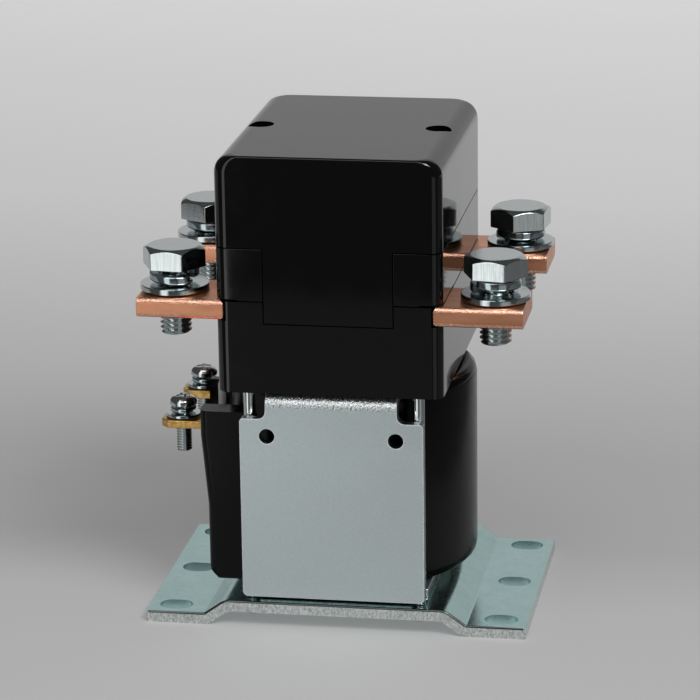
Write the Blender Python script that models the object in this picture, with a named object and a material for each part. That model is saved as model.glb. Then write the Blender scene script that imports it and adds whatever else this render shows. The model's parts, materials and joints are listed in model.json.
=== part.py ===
"""Double-pole contactor for direct current: a solenoid in a steel yoke on a folded bracket, with a contact
housing of three black mouldings on top and four copper bars out of its sides. Metres, +Z up, +X to the right,
the camera's side towards -Y. The origin is the centre of the bracket's footprint on the surface it stands on."""

import math

import bmesh
import bpy
from mathutils import Vector

# Clearances
SEAT_GAP = 0.0003
SLIDE_GAP = 0.0003

# Folded bracket
BRACKET_INSET = 0.0006
BRACKET_SHEET = 0.0030
PLATFORM_HEIGHT = 0.00675
PLATFORM_LENGTH = 0.0566
SLOPE_RUN = 0.0053
FLANGE = 0.01525
BRACKET_BEND = 0.0012
BRACKET_CORNER = 0.0006
SLOT_LENGTH = 0.0085
SLOT_WIDTH = 0.0065
SLOT_TO_END = 0.0069
SLOT_TO_SIDE = 0.0055
SLOT_ROWS = 3

# Magnet frame: the pole plate lies on the platform and the yoke stands round the coil
POLE_PLATE_THICKNESS = 0.0030
YOKE_SHEET = 0.0030
YOKE_WIDTH = 0.0465
NECK_TO_SCREW = 0.00335
YOKE_BEND = 0.0008
YOKE_FOOT_GAP = 0.0017
SHOULDER_DROP = 0.0069
SHOULDER_FILLET = 0.0019
SHOULDER_ROUND = 0.0010
YOKE_CORNER = 0.0013
YOKE_HOLE = 0.0039
YOKE_HOLE_PITCH = 0.0326
YOKE_HOLE_DROP = 0.0045

# Moulded coil
COIL_DIAMETER = 0.0640
COIL_HEIGHT = 0.05165
COIL_ROUND = 0.0028
COIL_FLAT = 0.0011
STRIP_CHANNEL = 0.0027
COIL_WALL = 0.0064
COIL_CAP = 0.0052
BOBBIN_WALL = 0.0014
BOBBIN_FLANGE = 0.0018
BLOCK_PROUD = 0.0035
BLOCK_TO_SCREW = 0.0031
BLOCK_TAPER = 0.0016
BLOCK_TAPER_START = 0.0067
BLOCK_TAPER_END = 0.0252
BLOCK_END_WALL = 0.0062
BLOCK_DROP = 0.0078
BLOCK_FOOT = 0.0009
BLOCK_ROUND = 0.0028
BLOCK_CORNER = 0.0020
BARRIER_PROUD = 0.0021
BARRIER_WIDTH = 0.0022
BARRIER_RISE = 0.0013
BARRIER_CORNER = 0.0008
BARRIER_HEIGHT = 0.0160

# Coil terminals
TAB_WIDTH = 0.0100
TAB_THICKNESS = 0.0020
TAB_LENGTH = 0.0200
TAB_PROUD = 0.0115
TAB_DROP = 0.0050
TAB_CHAMFER = 0.0018
LUG_WIDTH = 0.0021
LUG_THICKNESS = 0.0009
LUG_HEIGHT = 0.0082
LUG_INSET = 0.0032
LUG_TO_EDGE = 0.0016
COIL_SCREW = 0.0040
COIL_SCREW_LENGTH = 0.0124
COIL_SCREW_HEAD = 0.0070
COIL_SCREW_HEAD_HEIGHT = 0.0024
COIL_SCREW_TO_END = 0.0050
COIL_WASHER = 0.0090
COIL_WASHER_THICKNESS = 0.0007
COIL_LOCK_SECTION = 0.0011
COIL_LOCK_HEIGHT = 0.0016

# Solenoid
SLEEVE_BORE = 0.0200
SLEEVE_WALL = 0.0005
CORE_HEIGHT = 0.0206
CORE_STUD = 0.0100
POLE_CHAMFER = 0.0006
PLUNGER_HOLE_DEPTH = 0.0100
ROD_DIAMETER = 0.0050
ROD_HEAD = 0.0092
ROD_HEAD_HEIGHT = 0.0026
TRAVEL = 0.0035
TRAVEL_SPARE = 0.0001

# Contact housing
HOUSING_OVERHANG = 0.00135
SCREW_HEAD_TO_WALL = 0.0014
BASE_HEIGHT = 0.0237
MIDDLE_HEIGHT = 0.0135
COVER_HEIGHT = 0.02315
SIDE_WALL = 0.0027
END_WALL = 0.0030
FLOOR = 0.0030
COVER_TOP = 0.0030
COVER_SHOULDER = 0.0045
HOUSING_EDGE = 0.0007
HOUSING_CORNER = 0.0032
TONGUE_WIDTH = 0.03216
TONGUE_DROP = 0.0191
TONGUE_THICKNESS = 0.0023
SHELF_WIDTH = 0.0027
SHELF_HEIGHT = 0.0083
PILLAR_INSET = 0.0020
SPRING_SEAT_HEIGHT = 0.0008
ARC_WALL = 0.0020
RECESS_WALL = 0.0021
COVER_SCREW = 0.0035
COVER_SCREW_LENGTH = 0.0330
COVER_SCREW_HEAD = 0.0060
COVER_SCREW_HEAD_HEIGHT = 0.0024
COVER_SCREW_INSET = 0.00565
COVER_SCREW_RECESS = 0.0137
COVER_BOSS = 0.0092

# Tie screws
TIE_SCREW = 0.0030
TIE_SCREW_INSET = 0.00175
TIE_SCREW_HEAD = 0.0055
TIE_SCREW_HEAD_HEIGHT = 0.0020
TIE_SCREW_TIP = 0.0014

# Copper bars and their bolts
BAR_WIDTH = 0.0200
BAR_THICKNESS = 0.0050
WASHER_TO_HOUSING = 0.00335
BAR_SHOULDER = 0.0021
BAR_EDGE = 0.0011
NOTCH_GAP = 0.0006
NECK_WIDTH = 0.0098
NECK_END = 0.0070
BOLT_TO_END = 0.0079
BOLT = 0.0080
BOLT_LENGTH = 0.0173
BOLT_FLATS = 0.0142
BOLT_HEAD_HEIGHT = 0.0053
BOLT_HEAD_TOP = 0.0127
BOLT_WASHER = 0.0174
BOLT_WASHER_THICKNESS = 0.0016
BOLT_LOCK_SECTION = 0.0021

# Contacts
TIP_DIAMETER = 0.0080
TIP_THICKNESS = 0.0012
BRIDGE_LENGTH = 0.0310
BRIDGE_WIDTH = 0.0102
BRIDGE_WAIST = 0.0090
BRIDGE_THICKNESS = 0.0025
CONTACT_SPRING_HEIGHT = 0.0100
CONTACT_SPRING_DIAMETER = 0.0068
CONTACT_SPRING_WIRE = 0.0010
CARRIER_THICKNESS = 0.0080
CARRIER_POST = 0.0016
CARRIER_LEDGE = 0.0034
CARRIER_TOP_BEAM = 0.0028
CARRIER_HUB = 0.0130
CARRIER_HUB_HEIGHT = 0.0130
CARRIER_ARM = 0.0080
SPRING_NUB = 0.0015
CONTACT_SPRING_TURNS = 5
RETURN_SPRING_TURNS = 6
RETURN_SPRING_DIAMETER = 0.0110
RETURN_SPRING_WIRE = 0.0012
MAGNET_LENGTH = 0.0320
MAGNET_HEIGHT = 0.0125
MAGNET_THICKNESS = 0.0029
MAGNET_HOOK = 0.0012

# Heights of the stack, from the surface upwards
COIL_BOTTOM = PLATFORM_HEIGHT + POLE_PLATE_THICKNESS + 2 * SEAT_GAP
COIL_TOP = COIL_BOTTOM + COIL_HEIGHT
YOKE_TOP = COIL_TOP - STRIP_CHANNEL + SEAT_GAP + YOKE_SHEET
BASE_BOTTOM = YOKE_TOP + SEAT_GAP
BAR_TOP = BASE_BOTTOM + BASE_HEIGHT
BAR_BOTTOM = BAR_TOP - BAR_THICKNESS
BASE_TOP = BAR_TOP - SEAT_GAP
FLOOR_TOP = BASE_BOTTOM + FLOOR
COVER_BOTTOM = BAR_TOP + MIDDLE_HEIGHT
MIDDLE_TOP = COVER_BOTTOM - SEAT_GAP
HOUSING_TOP = COVER_BOTTOM + COVER_HEIGHT
SHOULDER = YOKE_TOP - SHOULDER_DROP
BLOCK_TOP = COIL_TOP - BLOCK_DROP
SLEEVE_HOLE = SLEEVE_BORE / 2 + SLEEVE_WALL + SLIDE_GAP
TAB_TOP = BLOCK_TOP - TAB_DROP
TIP_TOP = BAR_TOP + SEAT_GAP + TIP_THICKNESS
MOVING_TIP = TIP_TOP + TRAVEL + TRAVEL_SPARE
BRIDGE_BOTTOM = MOVING_TIP + TIP_THICKNESS + SEAT_GAP
BRIDGE_TOP = BRIDGE_BOTTOM + BRIDGE_THICKNESS
LEDGE_TOP = BRIDGE_BOTTOM - SEAT_GAP
BEAM_BOTTOM = BRIDGE_TOP + CONTACT_SPRING_HEIGHT + 2 * SEAT_GAP
CORE_TOP = COIL_BOTTOM + CORE_HEIGHT
PLUNGER_BOTTOM = CORE_TOP + TRAVEL + TRAVEL_SPARE
PLUNGER_TOP = BASE_BOTTOM - SEAT_GAP
HUB_BOTTOM = LEDGE_TOP - CARRIER_HUB_HEIGHT

# Places across the stack
LEG_INSIDE = COIL_DIAMETER / 2 - COIL_FLAT
LEG_OUTSIDE = LEG_INSIDE + YOKE_SHEET
TIE_X = YOKE_WIDTH / 2 - TIE_SCREW_INSET
TIE_Y = LEG_INSIDE - SLIDE_GAP - TIE_SCREW / 2
NECK_X = TIE_X - TIE_SCREW / 2 - NECK_TO_SCREW
BRACKET_X = PLATFORM_LENGTH / 2 + SLOPE_RUN + FLANGE
BRACKET_Y = LEG_OUTSIDE - BRACKET_INSET
WINDING_RADIUS = COIL_DIAMETER / 2 - COIL_WALL - 2 * SEAT_GAP
BLOCK_REACH = COIL_DIAMETER / 2 + BLOCK_PROUD
BLOCK_Y = TIE_Y - TIE_SCREW / 2 - BLOCK_TO_SCREW
BARRIER_REACH = BLOCK_REACH + BARRIER_PROUD
TAB_REACH = BLOCK_REACH + TAB_PROUD
TAB_X = TAB_REACH - COIL_SCREW_TO_END
TAB_Y = BLOCK_Y - BLOCK_END_WALL - SEAT_GAP - TAB_WIDTH / 2
INNER_X = TIE_X + TIE_SCREW_HEAD / 2 + SCREW_HEAD_TO_WALL
HALF_WIDTH = INNER_X + SIDE_WALL
HALF_DEPTH = LEG_OUTSIDE + HOUSING_OVERHANG
INNER_Y = HALF_DEPTH - END_WALL
SHELF_X = INNER_X - SHELF_WIDTH
COVER_SCREW_X = HALF_WIDTH - COVER_SCREW_INSET
TONGUE_INSIDE = HALF_DEPTH - TONGUE_THICKNESS
RECESS_Y = TONGUE_INSIDE - SEAT_GAP
WALL_Y = RECESS_Y - RECESS_WALL
MAGNET_BACK = WALL_Y - SEAT_GAP
MAGNET_Y = MAGNET_BACK - MAGNET_THICKNESS
CARRIER_Y = MAGNET_Y - SLIDE_GAP
WINDOW_OUT = CARRIER_Y - CARRIER_POST
POLE_Y = WINDOW_OUT - SLIDE_GAP - BRIDGE_WAIST / 2
WINDOW_IN = 2 * POLE_Y - WINDOW_OUT
BAR_INNER_Y = POLE_Y - NECK_WIDTH / 2
BAR_OUTER_Y = BAR_INNER_Y + BAR_WIDTH
BAR_Y = BAR_OUTER_Y - BAR_WIDTH / 2
BAR_SHOULDER_X = HALF_WIDTH - BAR_SHOULDER
BOLT_X = HALF_WIDTH + WASHER_TO_HOUSING + BOLT_WASHER / 2
BAR_REACH = BOLT_X + BOLT_TO_END
TIP_X = NECK_END + TIP_DIAMETER / 2 + SEAT_GAP

# How far each bar is longer than the shortest, and how high its split washer was left by the bolt
BAR_LONGER = {"front_left": 0, "front_right": 0, "rear_left": 0.0016, "rear_right": 0}
BOLT_LOCK_HEIGHT = {"front_left": 0.0037, "front_right": 0.0037, "rear_left": 0.0030, "rear_right": 0.0030}

# How each bolt's head and each split washer happen to be turned, in degrees
BOLT_TURN = {"front_left": -5, "front_right": -7.5, "rear_left": 32, "rear_right": 23}
LOCK_TURN = {"front_left": -33, "front_right": -138, "rear_left": 150, "rear_right": 198}

# Faces round a turned piece, a hidden one, a small one, the drum between its flats, and a bend,
# and on the housing round an upright corner and over a shoulder
ROUND = 32
INNER_ROUND = 24
SMALL_ROUND = 20
DRUM_STEPS = 18
BEND_STEPS = 4
CORNER_STEPS = 5
SHOULDER_STEPS = 8


def clear_scene():
    for obj in list(bpy.data.objects):
        bpy.data.objects.remove(obj)


def material(name, colour, roughness, metallic):
    made = bpy.data.materials.new(name)
    made.use_nodes = True
    shader = made.node_tree.nodes["Principled BSDF"]
    shader.inputs["Base Color"].default_value = (*colour, 1.0)
    shader.inputs["Roughness"].default_value = roughness
    shader.inputs["Metallic"].default_value = metallic
    return made


def add_object(name, bm, finish, place=(0, 0, 0), carrier=None):
    """Turn a bmesh into a smooth-shaded object standing at its place."""
    bmesh.ops.remove_doubles(bm, verts=bm.verts, dist=1e-7)
    bmesh.ops.recalc_face_normals(bm, faces=bm.faces)
    mesh = bpy.data.meshes.new(name)
    bm.to_mesh(mesh)
    bm.free()
    mesh.shade_smooth()
    mesh.set_sharp_from_angle(angle=math.radians(35))
    if finish:
        mesh.materials.append(finish)
    return place_object(name, mesh, place, carrier)


def place_object(name, mesh, place, carrier=None):
    obj = bpy.data.objects.new(name, mesh)
    bpy.context.scene.collection.objects.link(obj)
    obj.location = place
    if carrier:
        obj.parent = carrier
        obj.location = Vector(place) - carrier.location
    return obj


def add_carrier(name, place):
    """An empty on a joint's axis, which carries the pieces that move together."""
    empty = bpy.data.objects.new(name, None)
    bpy.context.scene.collection.objects.link(empty)
    empty.location = place
    return empty


def add_tool(name, bm):
    """A shape that only cuts or joins another, left out of the finished part."""
    tool = add_object(name, bm, None)
    tool.hide_render = True
    tool.display_type = "WIRE"
    return tool


def combine(obj, shape, operation="DIFFERENCE"):
    """Cut the object by a shape, join the two or keep what they share, with a live Boolean."""
    if isinstance(shape, bmesh.types.BMesh):
        shape = add_tool(f"{obj.name}_{operation.lower()}_{len(obj.modifiers)}", shape)
    modifier = obj.modifiers.new(operation.title(), "BOOLEAN")
    modifier.operation = operation
    modifier.object = shape


def arc(centre, radius, start, end, steps):
    """Points on an arc in a plane, angles in degrees."""
    points = []
    for step in range(steps + 1):
        angle = math.radians(start + (end - start) * step / steps)
        points.append((centre[0] + radius * math.cos(angle), centre[1] + radius * math.sin(angle)))
    return points


def rounded(corners, steps=BEND_STEPS):
    """A closed outline from (u, v, radius) corners, each turned into an arc of its radius."""
    points = []
    for index, (u, v, radius) in enumerate(corners):
        here = Vector((u, v))
        if not radius:
            points.append((u, v))
            continue
        before = (Vector(corners[index - 1][:2]) - here).normalized()
        after = (Vector(corners[(index + 1) % len(corners)][:2]) - here).normalized()
        half = before.angle(after) / 2
        centre = here + (before + after).normalized() * radius / math.sin(half)
        first = (here + before * radius / math.tan(half)) - centre
        last = (here + after * radius / math.tan(half)) - centre
        turn = first.angle_signed(last)
        for step in range(steps + 1):
            swing = -turn * step / steps
            points.append(
                (
                    centre.x + first.x * math.cos(swing) - first.y * math.sin(swing),
                    centre.y + first.x * math.sin(swing) + first.y * math.cos(swing),
                )
            )
    return points


def rectangle(u_low, u_high, v_low, v_high, radius=0.0, steps=BEND_STEPS):
    return rounded(
        [(u_low, v_low, radius), (u_high, v_low, radius), (u_high, v_high, radius), (u_low, v_high, radius)],
        steps,
    )


def circle(centre, radius, steps=ROUND):
    return arc(centre, radius, 0, 360 - 360 / steps, steps - 1)


def slot(centre, length, width, steps=8):
    """A stadium along the first direction."""
    straight = (length - width) / 2
    right = arc((centre[0] + straight, centre[1]), width / 2, -90, 90, steps)
    left = arc((centre[0] - straight, centre[1]), width / 2, 90, 270, steps)
    return right + left


def prism(outline, low, high, axis="Z", bm=None):
    """Extrude an outline along an axis. The outline lies in XY, XZ or YZ."""
    spread = {
        "Z": lambda u, v, w: (u, v, w),
        "Y": lambda u, v, w: (u, w, v),
        "X": lambda u, v, w: (w, u, v),
    }[axis]
    bm = bm or bmesh.new()
    face = bm.faces.new([bm.verts.new(spread(u, v, low)) for u, v in outline])
    raised = bmesh.ops.extrude_face_region(bm, geom=[face])
    shift = Vector(spread(0, 0, high - low))
    moved = [item for item in raised["geom"] if isinstance(item, bmesh.types.BMVert)]
    bmesh.ops.translate(bm, verts=moved, vec=shift)
    bmesh.ops.recalc_face_normals(bm, faces=bm.faces)
    return bm


def box(x_low, x_high, y_low, y_high, z_low, z_high, bm=None):
    return prism(rectangle(x_low, x_high, y_low, y_high), z_low, z_high, bm=bm)


def loft(rings, closed=False):
    """Join rings of equal count with faces, then cap the ends or join the last ring to the first."""
    bm = bmesh.new()
    rows = [[bm.verts.new(point) for point in ring] for ring in rings]
    pairs = list(zip(rows, rows[1:]))
    if closed:
        pairs.append((rows[-1], rows[0]))
    for low, high in pairs:
        for index in range(len(low)):
            following = (index + 1) % len(low)
            bm.faces.new((low[index], low[following], high[following], high[index]))
    if not closed:
        bm.faces.new(rows[0])
        bm.faces.new(rows[-1])
    return bm


def turned(profile, closed=False, steps=ROUND):
    """Turn (radius, height) points about Z. A closed profile makes a ring, an open one a solid."""
    return loft([[(u, v, z) for u, v in circle((0, 0), radius, steps)] for radius, z in profile], closed)


def ring_section(inner, outer, low, high, edge=0.0):
    """The section of a turned ring, its upper outer edge softened if an edge is given."""
    section = [(inner, low), (outer, low), (outer, high - edge)]
    if edge:
        section.append((outer - edge, high))
    return section + [(inner, high)]


def bevel_edges(bm, chosen, width, segments=2):
    edges = [edge for edge in bm.edges if chosen(edge)]
    bmesh.ops.bevel(bm, geom=edges, offset=width, segments=segments, profile=0.5, affect="EDGES", material=-1)


def along(edge, axis):
    """Whether an edge runs along the X, Y or Z axis."""
    run = edge.verts[1].co - edge.verts[0].co
    return abs(abs(run["XYZ".index(axis)]) - run.length) < 1e-7


def hexagon_ring(flats, height, chamfer_radius=None, steps=6):
    """Points round a hexagon; above a chamfer radius they drop as a 30 degree cone cuts the corners."""
    points = []
    for index in range(6 * steps):
        angle = 60 * index / steps
        reach = flats / 2 / math.cos(math.radians(angle % 60 - 30))
        drop = (reach - chamfer_radius) * math.tan(math.radians(30)) if chamfer_radius else 0
        turn = math.radians(angle)
        points.append((reach * math.cos(turn), reach * math.sin(turn), height - max(drop, 0)))
    return points


def helix_sweep(centre_at, section, samples):
    """Sweep a section of (outward, up) points round Z through centres given as (radius, angle, height)."""
    rings = []
    for sample in range(samples + 1):
        radius, angle, height = centre_at(sample / samples)
        rings.append(
            [((radius + out) * math.cos(angle), (radius + out) * math.sin(angle), height + up) for out, up in section]
        )
    return loft(rings)


def coil_spring(diameter, wire, height, turns, samples_per_turn=11, sides=5):
    """A compression spring with a closed turn at each end, its foot at z = 0."""
    closed_rise = 1.08 * wire
    open_rise = (height - wire - 2 * closed_rise) / (turns - 2)

    def centre_at(share):
        turn = turns * share
        low = min(turn, 1) * closed_rise
        middle = min(max(turn - 1, 0), turns - 2) * open_rise
        high = max(turn - turns + 1, 0) * closed_rise
        return (diameter - wire) / 2, turn * math.tau, wire / 2 + low + middle + high

    section = circle((0, 0), wire / 2, sides)
    return helix_sweep(centre_at, section, int(turns * samples_per_turn))


def lock_washer(bore, section, height, samples=22):
    """A split spring washer: one square-section turn that climbs clockwise, so its ends stand apart."""
    mean = bore / 2 + section / 2
    opening = 0.6 * section / mean

    def centre_at(share):
        angle = -opening / 2 - (math.tau - opening) * share
        return mean, angle, section / 2 + (height - section) * share

    return helix_sweep(centre_at, rectangle(-section / 2, section / 2, -section / 2, section / 2), samples)


def bracket(finish):
    half = BRACKET_X
    foot = PLATFORM_LENGTH / 2 + SLOPE_RUN
    edge = PLATFORM_LENGTH / 2
    slope = math.atan2(PLATFORM_HEIGHT - BRACKET_SHEET, SLOPE_RUN)
    shift = BRACKET_SHEET * math.tan(slope / 2)
    under = PLATFORM_HEIGHT - BRACKET_SHEET
    wide = BRACKET_BEND + BRACKET_SHEET
    section = rounded(
        [
            (-half, 0, 0),
            (-foot + shift, 0, wide),
            (-edge + shift, under, BRACKET_BEND),
            (edge - shift, under, BRACKET_BEND),
            (foot - shift, 0, wide),
            (half, 0, 0),
            (half, BRACKET_SHEET, 0),
            (foot, BRACKET_SHEET, BRACKET_BEND),
            (edge, PLATFORM_HEIGHT, wide),
            (-edge, PLATFORM_HEIGHT, wide),
            (-foot, BRACKET_SHEET, BRACKET_BEND),
            (-half, BRACKET_SHEET, 0),
        ]
    )
    bm = prism(section, -BRACKET_Y, BRACKET_Y, "Y")
    ends = half - BRACKET_SHEET
    bevel_edges(bm, lambda e: along(e, "Z") and abs(e.verts[0].co.x) > ends, BRACKET_CORNER, 3)
    obj = add_object("mounting_bracket", bm, finish)
    through = bmesh.new()
    first = SLOT_TO_SIDE - BRACKET_Y
    pitch = -2 * first / (SLOT_ROWS - 1)
    for side in (-1, 1):
        for row in range(SLOT_ROWS):
            centre = (side * (half - SLOT_TO_END), first + row * pitch)
            prism(slot(centre, SLOT_LENGTH, SLOT_WIDTH), -BRACKET_SHEET, 2 * BRACKET_SHEET, bm=through)
        for end in (-1, 1):
            centre = (side * TIE_X, end * TIE_Y)
            outline = circle(centre, TIE_SCREW / 2 + SLIDE_GAP, SMALL_ROUND)
            prism(outline, 0, PLATFORM_HEIGHT + BRACKET_SHEET, bm=through)
    combine(obj, through)


def pole_plate(finish):
    """The steel plate under the coil, its corners cut away for the tie screws."""
    half_x = YOKE_WIDTH / 2
    half_y = LEG_INSIDE - SEAT_GAP
    clear_x = TIE_X - TIE_SCREW / 2 - SLIDE_GAP
    clear_y = TIE_Y - TIE_SCREW / 2 - SLIDE_GAP
    outline = [
        (-half_x, -clear_y),
        (-clear_x, -clear_y),
        (-clear_x, -half_y),
        (clear_x, -half_y),
        (clear_x, -clear_y),
        (half_x, -clear_y),
        (half_x, clear_y),
        (clear_x, clear_y),
        (clear_x, half_y),
        (-clear_x, half_y),
        (-clear_x, clear_y),
        (-half_x, clear_y),
    ]
    low = PLATFORM_HEIGHT + SEAT_GAP
    obj = add_object("pole_plate", prism(outline, low, low + POLE_PLATE_THICKNESS), finish)
    combine(obj, prism(circle((0, 0), CORE_STUD / 2 + SEAT_GAP), 0, COIL_TOP))


def yoke(finish):
    """One strip folded over the coil, its legs widened below the shoulders."""
    half = LEG_OUTSIDE
    foot = PLATFORM_HEIGHT + YOKE_FOOT_GAP
    inside = YOKE_TOP - YOKE_SHEET
    outer = YOKE_BEND + YOKE_SHEET
    section = rounded(
        [
            (-half, foot, 0),
            (-LEG_INSIDE, foot, 0),
            (-LEG_INSIDE, inside, YOKE_BEND),
            (LEG_INSIDE, inside, YOKE_BEND),
            (LEG_INSIDE, foot, 0),
            (half, foot, 0),
            (half, YOKE_TOP, outer),
            (-half, YOKE_TOP, outer),
        ]
    )
    obj = add_object("magnet_yoke", prism(section, -YOKE_WIDTH / 2, YOKE_WIDTH / 2, "X"), finish)
    wide = YOKE_WIDTH / 2
    neck = NECK_X
    above = YOKE_TOP + YOKE_SHEET
    outline = rounded(
        [
            (-wide, foot, YOKE_CORNER),
            (wide, foot, YOKE_CORNER),
            (wide, SHOULDER, SHOULDER_ROUND),
            (neck, SHOULDER, SHOULDER_FILLET),
            (neck, above, 0),
            (-neck, above, 0),
            (-neck, SHOULDER, SHOULDER_FILLET),
            (-wide, SHOULDER, SHOULDER_ROUND),
        ]
    )
    combine(obj, prism(outline, -2 * LEG_OUTSIDE, 2 * LEG_OUTSIDE, "Y"), "INTERSECT")
    holes = prism(circle((0, 0), SLEEVE_HOLE), inside - YOKE_SHEET, above)
    for side in (-1, 1):
        centre = (side * YOKE_HOLE_PITCH / 2, SHOULDER - YOKE_HOLE_DROP)
        prism(circle(centre, YOKE_HOLE / 2, SMALL_ROUND), -2 * LEG_OUTSIDE, 2 * LEG_OUTSIDE, "Y", holes)
    combine(obj, holes)


def coil_body(finish):
    """The moulded coil: a flattened drum with its terminal block on the left, open underneath."""
    radius = COIL_DIAMETER / 2
    quarter = arc((0, 0), COIL_ROUND, 0, 90, 3)
    foot = [(radius - COIL_ROUND + u, COIL_BOTTOM + COIL_ROUND - v) for u, v in reversed(quarter)]
    crown = [(radius - COIL_ROUND + u, COIL_TOP - COIL_ROUND + v) for u, v in quarter]
    drum = loft([[(x, y, height) for x, y in coil_outline(reach)] for reach, height in foot + crown])
    obj = add_object("coil_body", drum, finish)
    combine(obj, terminal_block(), "UNION")
    tails = bmesh.new()
    for side in (-1, 1):
        low = side * TAB_Y - TAB_WIDTH / 2 - SEAT_GAP
        high = low + TAB_WIDTH + 2 * SEAT_GAP
        end = TAB_LENGTH - TAB_REACH + SEAT_GAP
        box(-radius, end, low, high, TAB_TOP - TAB_THICKNESS - SEAT_GAP, TAB_TOP + SEAT_GAP, tails)
    combine(obj, tails)
    neck = NECK_X + SEAT_GAP
    combine(obj, box(-neck, neck, -radius, radius, COIL_TOP - STRIP_CHANNEL, COIL_TOP + STRIP_CHANNEL))
    jacket = COIL_DIAMETER / 2 - COIL_WALL
    below = COIL_BOTTOM - COIL_ROUND
    ceiling = COIL_TOP - COIL_CAP
    hollow = [(jacket, below), (jacket, ceiling), (SLEEVE_HOLE, ceiling), (SLEEVE_HOLE, COIL_TOP + COIL_ROUND)]
    combine(obj, turned(hollow))


def coil_outline(radius):
    """A circle with two flats behind the yoke's legs."""
    flat = LEG_INSIDE - SEAT_GAP
    limit = math.degrees(math.asin(min(flat / radius, 1)))
    right = arc((0, 0), radius, -limit, limit, DRUM_STEPS)
    return right + arc((0, 0), radius, 180 - limit, 180 + limit, DRUM_STEPS)


def terminal_block():
    """The block beside the drum: a pocket for each tab, with a thin barrier standing between them."""
    low = COIL_BOTTOM - BLOCK_FOOT
    half = BLOCK_Y
    root = -COIL_DIAMETER / 4
    step = -YOKE_WIDTH / 2 - SLIDE_GAP
    narrow = BLOCK_TAPER - BLOCK_REACH
    outline = rounded(
        [
            (root, COIL_BOTTOM + COIL_ROUND, 0),
            (root, BLOCK_TOP, 0),
            (-BLOCK_REACH, BLOCK_TOP, 0),
            (-BLOCK_REACH, BLOCK_TOP - BLOCK_TAPER_START, 0),
            (narrow, BLOCK_TOP - BLOCK_TAPER_END, 0),
            (narrow, low, BLOCK_ROUND),
            (step, low, 0),
            (step, COIL_BOTTOM, 0),
        ]
    )
    bm = prism(outline, -half, half, "Y")
    bevel_edges(bm, is_block_corner, BLOCK_CORNER, CORNER_STEPS)
    block = add_tool("terminal_block_form", bm)
    outer = TAB_Y + TAB_WIDTH / 2 + SEAT_GAP
    floor = TAB_TOP - TAB_THICKNESS - SEAT_GAP
    pockets = bmesh.new()
    for low_y, high_y in ((-outer, -BARRIER_WIDTH / 2), (BARRIER_WIDTH / 2, outer)):
        box(-BARRIER_REACH, root - SEAT_GAP, low_y, high_y, floor, COIL_TOP, pockets)
    combine(block, pockets)
    top = BLOCK_TOP + BARRIER_RISE
    barrier = rounded(
        [
            (-BARRIER_REACH, top - BARRIER_HEIGHT, BARRIER_CORNER),
            (root, top - BARRIER_HEIGHT, 0),
            (root, top, 0),
            (-BARRIER_REACH, top, BARRIER_CORNER),
        ]
    )
    combine(block, prism(barrier, -BARRIER_WIDTH / 2, BARRIER_WIDTH / 2, "Y"), "UNION")
    return block


def is_block_corner(edge):
    """The upright edges at the two outer corners of the terminal block, down into its rounded foot."""
    outside = all(vert.co.x < BLOCK_TAPER + BLOCK_ROUND - BLOCK_REACH - SLIDE_GAP for vert in edge.verts)
    return outside and not along(edge, "Y") and not along(edge, "X")


def coil_terminals(brass, zinc):
    """Two brass tabs out of the block, each with its solder lug, screw, lock washer and flat washer."""
    lug_x = -BLOCK_REACH + LUG_INSET
    screw_x = -TAB_X
    washer_z = TAB_TOP + SEAT_GAP
    lock_z = washer_z + COIL_WASHER_THICKNESS + SEAT_GAP
    head_z = lock_z + COIL_LOCK_HEIGHT + SEAT_GAP
    bore = COIL_SCREW / 2 + SEAT_GAP
    for side, end in ((-1, "front"), (1, "rear")):
        middle = side * TAB_Y
        low, high = middle - TAB_WIDTH / 2, middle + TAB_WIDTH / 2
        corner = TAB_REACH - TAB_CHAMFER
        outline = [
            (-TAB_REACH, low + TAB_CHAMFER),
            (-corner, low),
            (TAB_LENGTH - TAB_REACH, low),
            (TAB_LENGTH - TAB_REACH, high),
            (-corner, high),
            (-TAB_REACH, high - TAB_CHAMFER),
        ]
        tab = add_object(f"coil_terminal_{end}", prism(outline, TAB_TOP - TAB_THICKNESS, TAB_TOP), brass)
        edge = min(low, high, key=abs) + side * LUG_TO_EDGE
        near, far = sorted((edge, edge + side * LUG_THICKNESS))
        foot = TAB_TOP - TAB_THICKNESS / 2
        lug = box(lug_x - LUG_WIDTH / 2, lug_x + LUG_WIDTH / 2, near, far, foot, TAB_TOP + LUG_HEIGHT)
        combine(tab, lug, "UNION")
        hole = prism(circle((screw_x, middle), bore, SMALL_ROUND), TAB_TOP - LUG_HEIGHT, TAB_TOP + LUG_HEIGHT)
        combine(tab, hole)
        washer = ring_section(bore, COIL_WASHER / 2, 0, COIL_WASHER_THICKNESS, COIL_WASHER_THICKNESS / 3)
        add_object(f"coil_flat_washer_{end}", turned(washer, True, INNER_ROUND), zinc, (screw_x, middle, washer_z))
        lock = lock_washer(COIL_SCREW + SLIDE_GAP, COIL_LOCK_SECTION, COIL_LOCK_HEIGHT, SMALL_ROUND)
        add_object(f"coil_lock_washer_{end}", lock, zinc, (screw_x, middle, lock_z))
        screw = pan_screw(COIL_SCREW, COIL_SCREW_LENGTH, COIL_SCREW_HEAD, COIL_SCREW_HEAD_HEIGHT)
        add_object(f"coil_screw_{end}", screw, zinc, (screw_x, middle, head_z))


def pan_screw(diameter, length, head, head_height):
    """A screw whose head stands on z = 0, its sides rounding over into a nearly flat top."""
    tip = diameter / 8
    profile = [
        (diameter / 2 - tip, -length),
        (diameter / 2, tip - length),
        (diameter / 2, 0),
        (head / 2, 0),
        (head / 2, 0.45 * head_height),
        (0.46 * head, 0.72 * head_height),
        (0.38 * head, 0.9 * head_height),
        (0.2 * head, head_height),
    ]
    return turned(profile, steps=SMALL_ROUND)


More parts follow.
